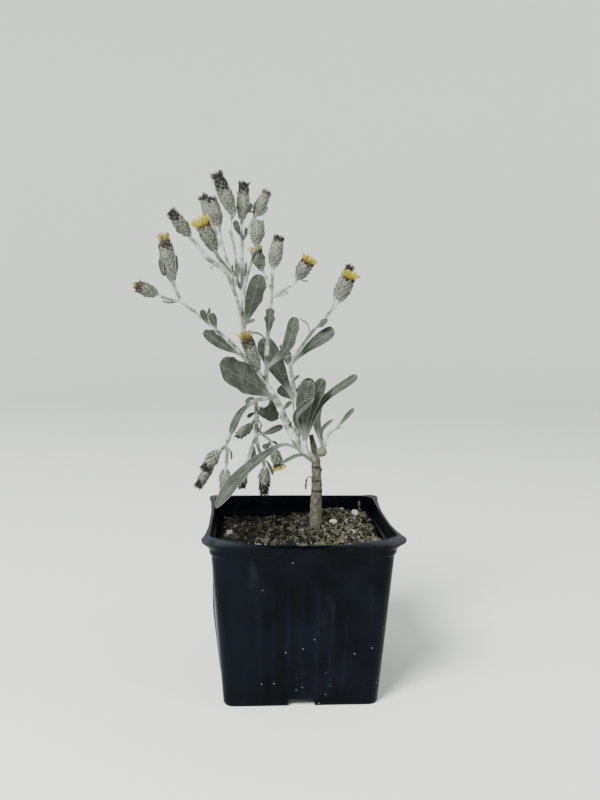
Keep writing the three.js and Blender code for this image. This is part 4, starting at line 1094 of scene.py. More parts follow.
# Leafy stems in the order they branch; each one is rooted on the stem named in grows
stems = dict(
    left_stem=dict(grows="trunk", limbs=[
        limb((8.5, 8, 129.5), (4.5, 7, 134), (-0.5, 6, 139.5), (-5.5, 5, 148.5), (-9.5, 4, 156.5),
            (-13, 3, 164.5), (-17.5, 2, 172), (-21.5, 2, 178.5), (-23.5, 3, 181),
            radii=(2.4, 2.8, 2.7, 2.5, 2.4, 2.2, 2.1, 1.8, 1.5)),
        limb((-21, 0, 175.5), (-23, -2, 179.5), (-25, -5, 184), radii=(1.2, 1), head="head_16"),
    ], leaves=[
        leaf((-14.5, 2, 166.5), (-28.5, -10, 177.5), (-47, -24, 188.5), width=19, face=(-0.2, -0.8, 0.55),
            neck=0.13, broad=0.62, tip=0.55, teeth=(0.2, 0.7), wave=0.5, rows=11),
        leaf((-10, 4, 159.5), (-8, 2, 163.5), (-5, 0, 166.5), width=2.8, face=(0, -0.9, 0.3)),
        leaf((-7, 4, 150), (-6, 2, 152.5), (-5.5, 0, 154.5), width=2.5, face=(0.5, -0.8, 0)),
        leaf((2, 6, 135), (-9.5, 2, 140), (-22.5, -5, 133.5), (-35, -9, 123), (-49, -11, 105), width=10,
            face=(-0.4, -0.6, 0.7), neck=0.22, broad=0.72, tip=0.2, cup=0.3, wave=0.4),
        leaf((8.5, 6, 126.5), (0.5, 3, 133.5), (-11, 0, 129), width=3, face=(-0.3, -0.6, 0.7), cup=0.5),
    ]),
    tall_stem=dict(grows="left_stem", limbs=[
        limb((-23.5, 3, 181), (-28.5, 5, 189.5), (-32, 7, 199), (-34, 7, 209), (-34, 8, 220.5),
            (-34.5, 8, 234), (-35, 8, 247.5), (-35, 9, 261.5), radii=(1.4, 1.5, 1.4, 1.3, 1.1)),
        limb((-35, 9, 260), (-35.5, 9, 266), (-35, 10, 271), radii=(1, 1.1), head="head_02"),
        limb((-35, 8, 229), (-38, 9, 237), (-38.5, 8, 247.5), (-39.5, 7, 256), (-41, 6, 262),
            (-42, 5, 267), (-41.5, 4.5, 271.5), (-39.5, 4, 273.5), radii=(0.9, 0.9, 1.1), head="head_01"),
        limb((-34.5, 9, 260), (-32, 11, 264.5), (-30, 14, 269), (-27.5, 17, 274.5), radii=(0.9, 1),
            head="head_03"),
        limb((-36, 9, 230), (-39, 11, 240), (-43, 13, 246.5), (-46, 15, 255), (-48, 16, 263),
            (-48.5, 16, 268), radii=(1, 1, 1.1), head="head_04"),
        limb((-46, 15, 255), (-49.5, 20, 262), (-52, 24.5, 269.5), radii=(0.9, 1), head="head_05"),
        limb((-36, 8, 231), (-40, 4, 239.5), (-44.5, 0, 245), (-48, -4, 248.5), (-49.5, -6, 252),
            radii=(1, 1, 1.2), head="head_07"),
        limb((-34, 7, 210.5), (-37, 4, 223.5), (-40.5, 2, 233), (-44, -1, 240.5), (-48.5, -3, 244.5),
            (-54.5, -5, 248.5), (-59.5, -7, 254.5), (-64, -8, 260), radii=(1, 1.1, 1.4, 1.5, 1.1),
            head="head_06"),
        limb((-34, 8, 224), (-33, 5, 233.5), (-31, 2, 242.5), (-28.5, 1, 250), (-27, 0, 256),
            radii=(0.9, 1.1), head="head_08"),
    ], leaves=[
        leaf((-33.5, 5, 208.5), (-29, 0, 223.5), (-24.5, -5, 240), width=10.4, face=(0.2, -0.95, 0.2),
            neck=0.24, tip=0.5, teeth=(0, 0.6)),
        leaf((-31.5, 4, 210.5), (-29.5, 3, 213), (-27, 2, 214), width=2.4, face=(0, -0.9, 0.4)),
        leaf((-35, 8, 261), (-37.5, 5, 266), (-39, 3, 271), width=4, face=(-0.4, -0.9, 0.2)),
        leaf((-34, 9, 261.5), (-33, 8, 264), (-32.5, 7, 267.5), width=2.2, face=(0.2, -0.9, 0)),
        leaf((-40, 4, 240), (-44, -1, 244.5), (-48, -3, 247), width=2.6, face=(0.5, -0.4, 0.8)),
        leaf((-39, 6, 231), (-40, 6, 238.5), (-40.5, 5, 246), width=1.6, face=(-0.5, -0.8, 0)),
        leaf((-37, 4, 232), (-37, 3, 239.5), (-37, 2, 247), width=1.6, face=(0, -1, 0.1)),
        leaf((-33.5, 4, 234.5), (-33, 2, 241.5), (-32.5, 1, 247), width=1.8, face=(0.3, -1, 0.1)),
        leaf((-30, 2, 245), (-28.5, -1, 250), (-26, -2, 254), width=2.5, face=(0.6, -0.8, 0)),
        leaf((-51, -3, 244), (-52, -5, 243), (-53, -7, 243), width=1.5, face=(0, -0.3, -1)),
    ]),
    long_left_stem=dict(grows="left_stem", limbs=[
        limb((-22.5, 1, 179), (-28.5, -1, 186.5), (-34, -3, 193), (-40.5, -6, 200.5), (-47, -8, 206),
            (-54.5, -10, 212.5), (-61, -12, 218), (-67.5, -14, 223), (-71, -15, 229), (-73, -16, 234),
            radii=(1.4, 1.3, 1.2, 1, 0.9, 1.1), head="head_14"),
        limb((-68.5, -14, 224), (-74, -16, 224.5), (-78.5, -17, 226), (-81, -18, 227.5), radii=(0.8, 1),
            head="head_15"),
    ], leaves=[
        leaf((-34, -3, 193), (-44, -8, 198.5), (-56.5, -13, 207), width=8, face=(0.2, -0.8, 0.5),
            neck=0.22, teeth=(0, 0.8)),
        leaf((-49, -8, 207.5), (-50.5, -10, 212.5), (-52.5, -12, 217.5), width=5, face=(0.2, -0.9, 0.3)),
        leaf((-53, -10, 211.5), (-55.5, -12, 215), (-57, -14, 219.5), width=4, face=(-0.3, -0.9, 0.2)),
        leaf((-54, -10, 212), (-54, -8, 216), (-53, -6, 220.5), width=2, face=(0.4, -0.9, 0)),
        leaf((-69, -14, 223), (-74.5, -15, 223), (-79, -15, 224), width=1.6, face=(0, -0.5, -0.9)),
    ]),
    centre_stem=dict(grows="left_stem", limbs=[
        limb((-20.5, 2, 176.5), (-20, 1, 184.5), (-20, -1, 196.5), (-19.5, -3, 208), (-18.5, -4, 219),
            (-17.5, -4, 227), radii=(1.3, 1.5, 1.4, 1.2, 1)),
        limb((-17.5, -4, 226), (-17.5, -3, 234.5), (-17, -2, 243.5), radii=(0.9, 1.1), head="head_10"),
        limb((-17.5, -4, 226.5), (-11.5, -6, 230.5), (-7, -8, 234), (-3.5, -9, 237),
            radii=(0.8, 0.8, 1.1), head="head_11"),
        limb((-18, -4, 230), (-19, 1, 234.5), (-21, 5, 239), (-23, 8, 242.5), radii=(0.8, 1),
            head="head_09"),
        limb((-16.5, -4, 227), (-12.5, -6, 228), (-8.5, -7, 230), radii=(0.6, 0.5, 1)),
    ], leaves=[
        leaf((-19.5, -3, 203.5), (-19, -6, 212), (-18.5, -8, 221), width=5.4, face=(0, -1, 0.2),
            neck=0.35, teeth=(0.7, 0.7), rows=7),
        leaf((-20.5, -2, 202.5), (-25, -5, 206), (-29, -8, 206.5), width=2.5, face=(0, -0.6, 0.8)),
        leaf((-20, 0, 185.5), (-9, -5, 198), (-4, -8, 216), width=7.5, face=(-0.3, -0.9, 0), neck=0.3,
            broad=0.75, tip=0.6, teeth=(0, 0.5), wave=0.4),
    ]),
    right_stem=dict(grows="left_stem", limbs=[
        limb((0, 7, 139.5), (-1.5, 8, 150.5), (-2, 9, 163), (-4, 9, 176), (-6, 8, 188),
            radii=(1.6, 1.7, 1.6, 1.5, 1.3)),
        limb((-6, 8, 186.5), (-2, 6, 195), (3, 4, 202), (7, 2, 208), (11.5, 0, 213), (15.5, -1, 218),
            (18.5, -2, 222), (21.5, -3, 225), radii=(1.2, 1.1, 0.9, 1.1), head="head_12"),
        limb((16.5, -1, 219), (18.5, 1, 223), (19.5, 3, 226.5), radii=(0.8, 0.9), head="head_13"),
        limb((-4.5, 10, 176), (-5, 12, 180.5), (-5.5, 14, 186.5), radii=(0.9, 0.9), head="head_17"),
    ], leaves=[
        leaf((-2, 10, 164.5), (-12.5, 12, 183.5), (-23, 10, 203), width=12, face=(0, -0.95, 0.3),
            neck=0.2, broad=0.72, tip=0.6, wave=0.3),
        leaf((-5.5, 8, 188.5), (6, 3, 199), (19, -4, 208.5), width=10, face=(-0.2, -0.75, 0.6), neck=0.2,
            broad=0.78, tip=0.6),
        leaf((7, 2, 208.5), (11, -1, 211.5), (15, -5, 214.5), width=4.5, face=(-0.3, -0.8, 0.5),
            teeth=(0.5, 0.5)),
        leaf((5.5, 3, 205.5), (3.5, 5, 212), (-1, 7, 215), width=1.8, face=(0.5, -0.3, 0.8)),
        leaf((-6.5, 7, 188.5), (-8.5, 5, 192), (-6.5, 3, 193.5), width=2, face=(-0.4, -0.5, 0.8)),
        leaf((-4, 8, 176), (-3, 6, 179), (-0.5, 3, 181.5), width=2.5, face=(0, -0.8, 0.6)),
        leaf((-3, 10, 165), (-7.5, 14, 169.5), (-12.5, 17, 173), width=7, face=(-0.2, -0.8, 0.5)),
    ]),
    rosette=dict(grows="left_stem", limbs=[
        limb((4.5, 7, 134), (3.5, 6, 139), (3, 5.5, 144), radii=(1.5, 1.7, 1.2)),
    ], leaves=[
        leaf((-1, 5, 143), (-2, 0, 157), (7.5, -5, 168.5), width=4.5, face=(-0.5, -0.8, 0.2), neck=0.4,
            cup=0.9),
        leaf((0.5, 5, 141), (1.5, -1, 161.5), (4.5, -6, 179), width=10, face=(0, -0.9, 0.35), neck=0.28,
            broad=0.74, tip=0.7),
        leaf((1, 8, 141.5), (0, 13, 164), (7.5, 13, 179), width=9, face=(0.1, -0.9, 0.3), neck=0.3,
            broad=0.74, tip=0.65),
        leaf((2, 5, 141.5), (7, 1.5, 164), (13, -5, 180.5), width=8, face=(-0.2, -0.9, 0.3), neck=0.24,
            broad=0.74, tip=0.65, teeth=(0, 0.3)),
        leaf((3, 7, 141.5), (13, 4, 165), (32.5, -8, 182.5), width=6, face=(-0.4, -0.75, 0.45), neck=0.36,
            broad=0.84, tip=0.6),
    ]),
    right_shoot=dict(grows="trunk", limbs=[
        limb((14.5, 8, 136), (16, 7, 143), (19, 6, 147.5), (23, 5, 150), (26.5, 4, 150.5),
            radii=(1.6, 1.5, 1.2, 0.8, 0.5)),
    ], leaves=[
        leaf((12.5, 8, 138), (10, 10, 157.5), (13.5, 7, 172), width=7, face=(0, 0.9, -0.3), neck=0.4,
            tip=0.6),
        leaf((13.5, 8, 137.5), (14, 6, 148.5), (20, 3, 155.5), width=2.6, face=(-0.6, -0.7, 0.2),
            neck=0.6, cup=0.4),
        leaf((22.5, 5, 149.5), (27.5, 2, 156.5), (32, -1, 162.5), width=3.2, face=(-0.5, -0.8, 0.2),
            neck=0.4, cup=0.6),
    ]),
    hanging_spray=dict(grows="left_stem", limbs=[
        limb((-15.5, 4, 168.5), (-20, 10, 167), (-25, 15, 165.5), (-27, 17, 164.5),
            radii=(1.5, 1.4, 1.3)),
        limb((-25, 15, 165.5), (-30, 17, 162), (-35.5, 17, 156.5), (-39, 16, 150), (-42, 15, 142.5),
            (-44.5, 15, 138), radii=(1, 1, 1.2, 1.3)),
        limb((-44.5, 15, 138.5), (-47, 14.5, 136), (-48.5, 14, 134.5), radii=(1.2, 1.2), head="head_18"),
        limb((-44, 16, 139), (-47, 19, 133.5), (-50, 20, 129), (-52, 20, 126.5), radii=(1, 1),
            head="head_19"),
        limb((-44.5, 15, 138.5), (-43.5, 15, 133.5), (-43.5, 15, 128.5), (-44, 15, 124), radii=(1.2, 1.1),
            head="head_20"),
        limb((-26, 16, 164.5), (-25.5, 20, 157.5), (-25.5, 22, 150), (-25.5, 23, 141), (-24, 24, 134.5),
            (-22, 24, 129), (-20, 24, 123), radii=(1.2, 1.5, 1.5, 1.2, 1.1), head="head_22"),
        limb((-25.5, 20, 157.5), (-26, 23, 153.5), (-27.5, 24, 150), radii=(0.9, 0.9), head="head_21"),
        limb((-25.5, 23, 142), (-27.5, 21, 138), (-29.5, 18, 133), (-31, 15, 128), (-33, 14, 124),
            radii=(1, 0.9), head="head_24"),
        limb((-25.5, 22, 147.5), (-20.5, 25, 142), (-17, 25, 139), (-15, 24, 135), radii=(0.9, 1),
            head="head_23"),
    ], leaves=[
        leaf((-16.5, 6, 168.5), (-17.5, 14, 160.5), (-19.5, 18, 153), width=13, face=(0.1, -0.8, 0.5),
            teeth=(0.8, 0.8), wave=0.9),
        leaf((-25, 15, 166), (-34, 13, 159), (-41, 11, 145), width=6, face=(-0.5, -0.7, 0.5), neck=0.35,
            cup=0.3),
        leaf((-25, 15, 166.5), (-29, 18, 165.5), (-32, 21, 161.5), width=5, face=(0, -0.7, 0.7)),
        leaf((-25, 22, 142.5), (-17, 20, 145), (-9, 16, 149), width=5, face=(0, -0.8, 0.6), cup=0.5),
        leaf((-21, 19, 153.5), (-22.5, 20, 149.5), (-24, 21, 145.5), width=1.4, face=(-0.7, -0.7, 0)),
        leaf((-26, 20, 157.5), (-28.5, 17, 156.5), (-31, 15, 154.5), width=3, face=(0, -0.6, 0.8)),
        leaf((-42, 14, 137.5), (-41, 12, 134), (-40.5, 11, 129.5), width=1.8, face=(0.6, -0.7, 0)),
        leaf((-27, 20, 139), (-27, 16, 133.5), (-28.5, 13, 127.5), width=3.5, face=(0.4, -0.9, 0)),
        leaf((-16.5, 25, 139), (-18, 22, 137), (-21.5, 19, 135), width=4, face=(0, -0.7, 0.6)),
        leaf((-16.5, 25, 139), (-14.5, 26, 138), (-12, 27, 136), width=2, face=(0, -0.7, 0.6)),
        leaf((-22, 24, 129), (-18, 21, 125), (-15, 19, 118.5), width=3, face=(0.7, -0.7, 0.2)),
    ]),
)

# Trunk: woody stem with leaf-scar rings, a broken snag, a burl, a nub and a dry hooked petiole
trunk = dict(
    limb=dict(points=[(11, 8, 68), (11, 8, 88.5), (11, 8, 100.5), (11, 8, 119), (10.5, 8, 127), (10, 8, 132)],
        radii=(4.2, 4.2, 4.2, 4.3, 4.2, 3.9, 3.65, 3.45, 3.3, 3.1, 2.9, 2.8, 2.7)),
    snag=dict(points=[(10, 8, 130), (9, 9, 137.5), (7.5, 11, 145)], radii=(2.3, 1.9, 1.2)),
    hook=dict(points=[(9.6, 7.6, 118), (6.8, 6.4, 120), (5, 5.6, 119), (4.4, 5.2, 115.5), (4.5, 5, 112.5)],
        radii=(0.5, 0.4, 0.55)),
    scarHalf=0.55, scarProud=0.3,
    burl=dict(points=[(11, 8, 131), (14, 8, 135)], centre=(14, 8, 135), radius=3.1),
    nub=dict(centre=(13.7, 7.5, 124), radius=0.9),
    voxel=0.3, furrow=0.3,
)


def ball(name, centre, radius):
    rings = []
    for level in range(1, 14):
        angle = math.pi * level / 14
        ring = circle(radius * math.sin(angle), -radius * math.cos(angle), 18)
        rings.append([Vector(centre) + point for point in ring])
    return loftMesh(name, rings)


def buildTrunk():
    parts = [
        tube("limb", **trunk["limb"], sides=28, pitch=0.7, lumps=0.08),
        tube("snag", **trunk["snag"], sides=16, pitch=0.5, lumps=0.3),
        tube("hook", **trunk["hook"], sides=9, pitch=0.3, lumps=0.5),
    ]
    parts += [ball(name, trunk[name]["centre"], trunk[name]["radius"]) for name in ("burl", "nub")]
    piece = joined("woody_trunk", [objectOf(f"part{n}", mesh) for n, mesh in enumerate(parts)])
    skinned(piece, trunk["voxel"], 3)

    def bark(place):
        grooved = noise.fractal((place.x * 0.9, place.y * 0.9, place.z * 0.28), 1, 2.1, 4)
        depth = trunk["furrow"] * (grooved + 0.35 * noise.noise(place * 2.2))
        wander = 0.9 * noise.noise((place.x * 0.4, place.y * 0.4, 3))
        for scar in scarLevels:
            away = abs(place.z + wander - scar)
            depth += trunk["scarProud"] * smoothStep(away, trunk["scarHalf"] * 2, trunk["scarHalf"] * 0.6)
            depth -= trunk["scarProud"] * 0.9 * smoothStep(away, 0.35, 0.05)
        inBurl = smoothStep((place - Vector(trunk["burl"]["centre"])).length, 4.4, 3.2)
        return depth * (1 - 0.75 * inBurl)
    moveEach(piece.data, bark)
    woolly, dead, mossy = [], [], []
    for vertex in piece.data.vertices:
        place = vertex.co / mm
        inBurl = smoothStep((place - Vector(trunk["burl"]["centre"])).length, 4.6, 3.0)
        high = smoothStep(place.z, 122, 131) * smoothStep(place.x, 9, 6.5)
        woolly.append(max(inBurl * 0.8, high * 0.75))
        onSnag = smoothStep(place.z, 131, 136) * smoothStep(place.x, 11, 10) * (1 - inBurl)
        onHook = smoothStep((place - Vector((6, 6, 117))).length, 6.5, 5.5) * smoothStep(place.x, 7.4, 6.6)
        dead.append(max(onSnag, onHook))
        patch = smoothStep(noise.noise(place * 0.4 + Vector((3, 1, 7))), -0.25, 0.2)
        lowDown = smoothStep(place.z, 104, 98)
        mossy.append(smoothStep(place.x + 0.5 * (8 - place.y), 11.5, 15) * lowDown * patch)
    setPaint(piece.data, woolly=woolly, dead=dead, mossy=mossy)
    piece.data.materials.append(materials["bark"])
    return fasten(piece, "bark", "trunk")


woodyTrunk = buildTrunk()
print("trunk ready:", len(woodyTrunk.data.polygons), "faces")


# Stems: felted limbs skinned as one, with their leaves and a coat of wool
stemSkin = dict(voxel=0.34, thin=0.95, lumps=0.1, down=0.06)
wool = dict(length=0.75, width=0.05, perStemArea=1.6, perHeadArea=0.45)


def hairStamp():
    # a hair of unit length on a three-sided foot
    foot = [(math.cos(a), math.sin(a), 0) for a in (0, 2.094, 4.189)]
    points = [Vector(p) * wool["width"] for p in foot]
    points += [Vector(p) * wool["width"] * 0.7 + Vector((0.1, 0, 0.55)) for p in foot]
    faces = [(2, 1, 0), (0, 1, 4, 3), (1, 2, 5, 4), (2, 0, 3, 5), (3, 4, 6), (4, 5, 6), (5, 3, 6)]
    return stampOf("hair", meshOf("hair", points + [Vector((0.34, 0, 1))], faces))


def woolTree(material):
    tree, given = startTree("wool", Density=1.0, Length=1.0, Seed=1)
    spread = strewn(tree, given)
    lean = chance(tree, (-1.0, -1.0, 0.0), (1.0, 1.0, 2 * math.pi), given["Seed"], turns=True)
    turned = rolled(tree, spread["Rotation"], lean)
    size = times(tree, chance(tree, 0.5, 1.2, 4), given["Length"])
    placed = placeEach(tree, spread["Points"], shapeOf(tree, hair), turned, size)
    return endTree(tree, placed, material)


hair = hairStamp()
stemWool = woolTree(materials["stemFelt"])


def rootOn(limbs, place):
    # the point of a set of limbs that lies nearest to a place
    target = Vector(place)
    spots = [spot for limb in limbs for spot in routeThrough(limb["points"], 0.4)[0]]
    return min(spots, key=lambda spot: (spot - target).length)


def headAxis(head):
    return (Vector(head["top"]) - Vector(head["base"])).normalized()


rooted = {}


def rootedLimbs(name):
    grows, limbs = stems[name]["grows"], stems[name]["limbs"]
    carriers = [trunk["limb"], trunk["burl"]] if grows == "trunk" else rooted[grows]
    done = []
    for spec in limbs:
        root = rootOn(done or carriers, spec["points"][0])
        done.append(dict(spec, points=[root, *spec["points"][1:]]))
    return done


def buildStem(name, seed):
    rooted[name] = rootedLimbs(name)
    shells = []
    for spec in rooted[name]:
        points = spec["points"]
        if spec["head"]:
            points = [*points[:-1], Vector(points[-1]) + headAxis(heads[spec["head"]]) * 0.9]
        radii = [radius * stemSkin["thin"] for radius in spec["radii"]]
        shells.append(objectOf("limb", tube("limb", points, radii, 14, 0.6, stemSkin["lumps"])))
    piece = skinned(joined(name + "_felt", shells), stemSkin["voxel"], 2)
    moveEach(piece.data, lambda place: stemSkin["down"] * noise.fractal(place * 1.6, 1, 2.0, 3))
    piece.data.materials.append(materials["stemFelt"])
    parts = [piece]
    density = wool["perStemArea"] / mm ** 2
    coat = grown(stemWool, piece.data.copy(), Density=density, Length=wool["length"], Seed=seed)
    parts.append(objectOf("coat", coat))
    for spec in stems[name]["leaves"]:
        root = rootOn(rooted[name], spec["points"][0])
        mesh = leafMesh("leaf", **dict(spec, points=[root, *spec["points"][1:]]))
        parts.append(objectOf("leaf", mesh, materials["leafFelt"]))
    piece = joined(name + "_felt", parts)
    print(name, len(piece.data.polygons), "faces")
    return fasten(piece, "leaf" if name == "rosette" else "felt", name)


for order, stemName in enumerate(stems):
    buildStem(stemName, order + 1)
print("stems ready")


# Heads: a hollow body of felt under spiralling scales, and a tuft of florets in its mouth
involucre = dict(
    profile=dict(
        bud=(0.32, 0.72, 0.95, 1, 0.96, 0.86, 0.72), open=(0.32, 0.66, 0.88, 0.98, 1, 0.97, 0.9),
        fading=(0.32, 0.7, 0.93, 1, 0.97, 0.88, 0.76), spent=(0.32, 0.72, 0.96, 1, 0.94, 0.82, 0.68),
    ),
    inside=0.84, cupFloor=0.86, cupShare=dict(bud=0.93, open=0.78, fading=0.84, spent=0.84),
    scaleArea=5.6, scaleLength=3.9, scaleWidth=2.7, flare=0.1, sunk=0.12,
    darkFrom=dict(bud=2, open=0.84, fading=0.76, spent=0.68),
)

def headMatrix(head):
    axis = headAxis(head)
    across = Vector((0, 1, 0)).cross(axis).normalized()
    turn = Matrix((across, axis.cross(across), axis)).transposed().to_4x4()
    return Matrix.Translation(Vector(head["base"]) * mm) @ turn


def headCore(length, half, bloom):
    # the body in its own frame, foot at the origin and axis along Z
    profile, sides, levels = involucre["profile"][bloom], 24, 14
    rings = []
    for level in range(levels + 1):
        t = level / levels
        rings.append(circle(half * involucre["inside"] * along(profile, t), t * length, sides))
    if bloom == "bud":
        ends = ((0.704, 1.02), (0.448, 1.05), (0.176, 1.065))
    else:
        ends = ((0.68, 0.985), (0.6, involucre["cupFloor"]))
    rings += [circle(half * profile[-1] * share, length * rise, sides) for share, rise in ends]
    mesh = loftMesh("core", rings)
    mesh.shade_smooth()
    return mesh


def scaleStamp():
    # a felted scale of unit length and width: cupped round the body, its point turned out
    rows, columns = (0, 0.35, 0.62, 0.84, 1), (-1, -0.5, 0, 0.5, 1)
    wide = (0.34, 0.5, 0.46, 0.28, 0.03)
    rings, reach = [], []
    for v, half in zip(rows, wide):
        upper, lower = [], []
        for u in columns:
            x = u * half
            y = 0.16 * max(0, v - 0.6) ** 1.2 - 0.42 * x * x
            body = 0.5 * (1 - 0.6 * u * u) * (1 - 0.5 * v)
            upper.append(Vector((x, y + body * 0.3, v)))
            lower.append(Vector((x, y - body * 0.12, v)))
        rings.append(upper + lower[::-1])
        reach += [v] * (2 * len(columns))
    mesh = loftMesh("scale", [ring[::-1] for ring in rings])
    setPaint(mesh, reach=reach)
    return stampOf("scale", mesh)


def scaleTree():
    tree, given = startTree(
        "scaleCoat", Length=15.0, Count=70, DarkFrom=0.8, Rust=0.0, Green=0.0, Bare=0.6, Seed=1
    )
    t, cosine, sine = spiral(tree, given["Count"], given["Seed"])
    room = minus(tree, given["Length"], 0.62 * involucre["scaleLength"])
    foot = vectorOf(tree, z=times(tree, plus(tree, times(tree, t, room), 0.25), mm))
    outward = vectorOf(tree, cosine, sine)
    around = vectorOf(tree, times(tree, sine, -1.0), cosine)
    hit = addNode(tree, "GeometryNodeRaycast", {
        "Target Geometry": given["Geometry"], "Source Position": foot, "Ray Direction": outward,
        "Ray Length": 0.05,
    }).outputs
    sunk = vectors(tree, "MULTIPLY", outward, (-involucre["sunk"] * mm,) * 3)
    spot = vectors(tree, "ADD", hit["Hit Position"], sunk)
    points = addNode(tree, "GeometryNodePoints", {"Count": given["Count"], "Position": spot}).outputs[0]
    dark = minus(tree, plus(tree, t, chance(tree, -0.07, 0.07, 3)), given["DarkFrom"])
    dark = shareBetween(tree, dark, -0.04, 0.12)
    low = shareBetween(tree, plus(tree, t, chance(tree, -0.15, 0.15, 5)), 0.5, 0.2)
    marks = dict(
        dark=dark, green=times(tree, low, given["Green"]),
        rust=times(tree, given["Rust"], chance(tree, 0.2, 1.2, 6)),
        bare=times(tree, given["Bare"], chance(tree, 0.3, 1.1, 8)), tone=chance(tree, 0.0, 1.0, 9),
    )
    for name, value in marks.items():
        points = marked(tree, points, name, value, "POINT")
    upward = vectors(tree, "CROSS_PRODUCT", hit["Hit Normal"], around)
    aimed = aimedAt(tree, upward, hit["Hit Normal"], "Y")
    tilt = plus(tree, times(tree, dark, 0.14), chance(tree, 0.0, 0.17, 11))
    tilt = times(tree, plus(tree, tilt, involucre["flare"]), -1.0)
    turned = rolled(tree, aimed, vectorOf(tree, tilt, z=chance(tree, -0.25, 0.25, 12)))
    small = plus(tree, 0.55, times(tree, shareBetween(tree, t, 0.0, 0.3), 0.45))
    small = times(tree, small, chance(tree, 0.85, 1.12, 14))
    slim = times(tree, small, minus(tree, 1.0, times(tree, dark, 0.35)))
    wide, tall = times(tree, slim, involucre["scaleWidth"]), times(tree, small, involucre["scaleLength"])
    placed = placeEach(tree, points, shapeOf(tree, scale), turned, vectorOf(tree, wide, 2.0, tall))
    # the body under the scales darkens with them
    place = addNode(tree, "GeometryNodeInputPosition").outputs[0]
    rise = maths(tree, "DIVIDE", maths(tree, "DIVIDE", partOf(tree, place, "Z"), mm), given["Length"])
    coreDark = shareBetween(tree, minus(tree, rise, given["DarkFrom"]), -0.02, 0.08)
    both = addNode(tree, "GeometryNodeJoinGeometry")
    tree.links.new(placed, both.inputs[0])
    tree.links.new(marked(tree, given["Geometry"], "dark", coreDark, "POINT"), both.inputs[0])
    return endTree(tree, both.outputs[0], materials["scaleFelt"])


# Florets: straps with notched tips while they are fresh, thin crooked threads once dry
floretShape = dict(
    open=dict(count=76, lean=0.5, width=0.15, curl=0.3, low=0.66, high=1.06, material="openFlorets"),
    fading=dict(count=56, lean=0.2, width=0.13, curl=0.2, low=0.66, high=1.04, material="fadingFlorets"),
    spent=dict(count=110, lean=0.18, width=0.16, curl=0.3, low=0.5, high=1.04, material="spentFlorets"),
)


def floretStamp(name, width, curl, seed):
    # one floret of unit height: a tube that widens to a lobed mouth, bent a little outwards
    rows, sides = (0, 0.3, 0.6, 0.8, 0.93, 1), 6
    wide = (0.3, 0.26, 0.3, 0.42, 0.62, 0.9)
    rings, reach = [], []
    for v, share in zip(rows, wide):
        bend = Vector((curl * v * v * 0.5, 0.25 * curl * noise.noise((v * 3, seed, 0.5)), 0))
        ring = []
        for side in range(sides):
            angle = 2 * math.pi * side / sides
            lobe = 1 + (0.5 if side % 2 else -0.35) * smoothStep(v, 0.85, 1)
            rise = v + (0.07 if side % 2 else -0.07) * smoothStep(v, 0.85, 1)
            spread = width * 0.5 * share * lobe
            ring.append(Vector((spread * math.cos(angle), spread * math.sin(angle), rise)) + bend)
        rings.append(ring)
        reach += [v] * sides
    mesh = loftMesh(name, rings)
    setPaint(mesh, reach=reach)
    return stampOf(name, mesh)


def threadStamp(name, width, curl, seed):
    rings, reach, sides = [], [], 4
    for v in (0, 0.25, 0.5, 0.72, 0.88, 1):
        swing = Vector((noise.noise((v * 2.2, seed, 0)), noise.noise((v * 2.2, 0, seed)), 0)) * curl * v
        hook = Vector((curl * 0.6 * smoothStep(v, 0.5, 1), 0, -0.14 * curl * smoothStep(v, 0.7, 1)))
        rings.append([point + swing + hook for point in circle(width * 0.5 * (1 - 0.7 * v), v, sides)])
        reach += [v] * sides
    mesh = loftMesh(name, rings)
    setPaint(mesh, reach=reach)
    return stampOf(name, mesh)


def floretTree(bloom, shapes):
    look = floretShape[bloom]
    tree, given = startTree(bloom + "Florets", Radius=2.0, Height=4.0, Count=40, Seed=1)
    share, cosine, sine = spiral(tree, given["Count"], given["Seed"])
    share, outward = maths(tree, "SQRT", share), vectorOf(tree, cosine, sine)
    away = times(tree, share, times(tree, given["Radius"], mm))
    spot = vectors(tree, "MULTIPLY", outward, vectorOf(tree, away, away, away))
    points = addNode(tree, "GeometryNodePoints", {"Count": given["Count"], "Position": spot}).outputs[0]
    tilt = times(tree, share, look["lean"])
    leaned = vectors(tree, "MULTIPLY", outward, vectorOf(tree, tilt, tilt, tilt))
    aim = vectors(tree, "ADD", leaned, chance(tree, (-0.16, -0.16, 0.9), (0.16, 0.16, 1.0), 2, turns=True))
    aimed = aimedAt(tree, aim, outward, "X")
    turned = rolled(tree, aimed, vectorOf(tree, z=chance(tree, -0.8, 0.8, 3)))
    shape, which = picked(tree, given["Seed"], shapes)
    size = times(tree, given["Height"], chance(tree, look["low"], look["high"], 4))
    placed = placeEach(tree, points, shape, turned, size, which)
    placed = marked(tree, placed, "tone", chance(tree, 0.0, 1.0, 5))
    return endTree(tree, placed, materials[look["material"]])


scale = scaleStamp()
scaleCoat = scaleTree()
headWool = woolTree(materials["scaleFelt"])
tuftTrees = {}
for bloom, look in floretShape.items():
    maker = threadStamp if bloom == "spent" else floretStamp
    shapes = [maker(f"{bloom}{n}", look["width"], look["curl"] * (0.6 + 0.4 * n), n + 1) for n in range(3)]
    tuftTrees[bloom] = floretTree(bloom, shapes)


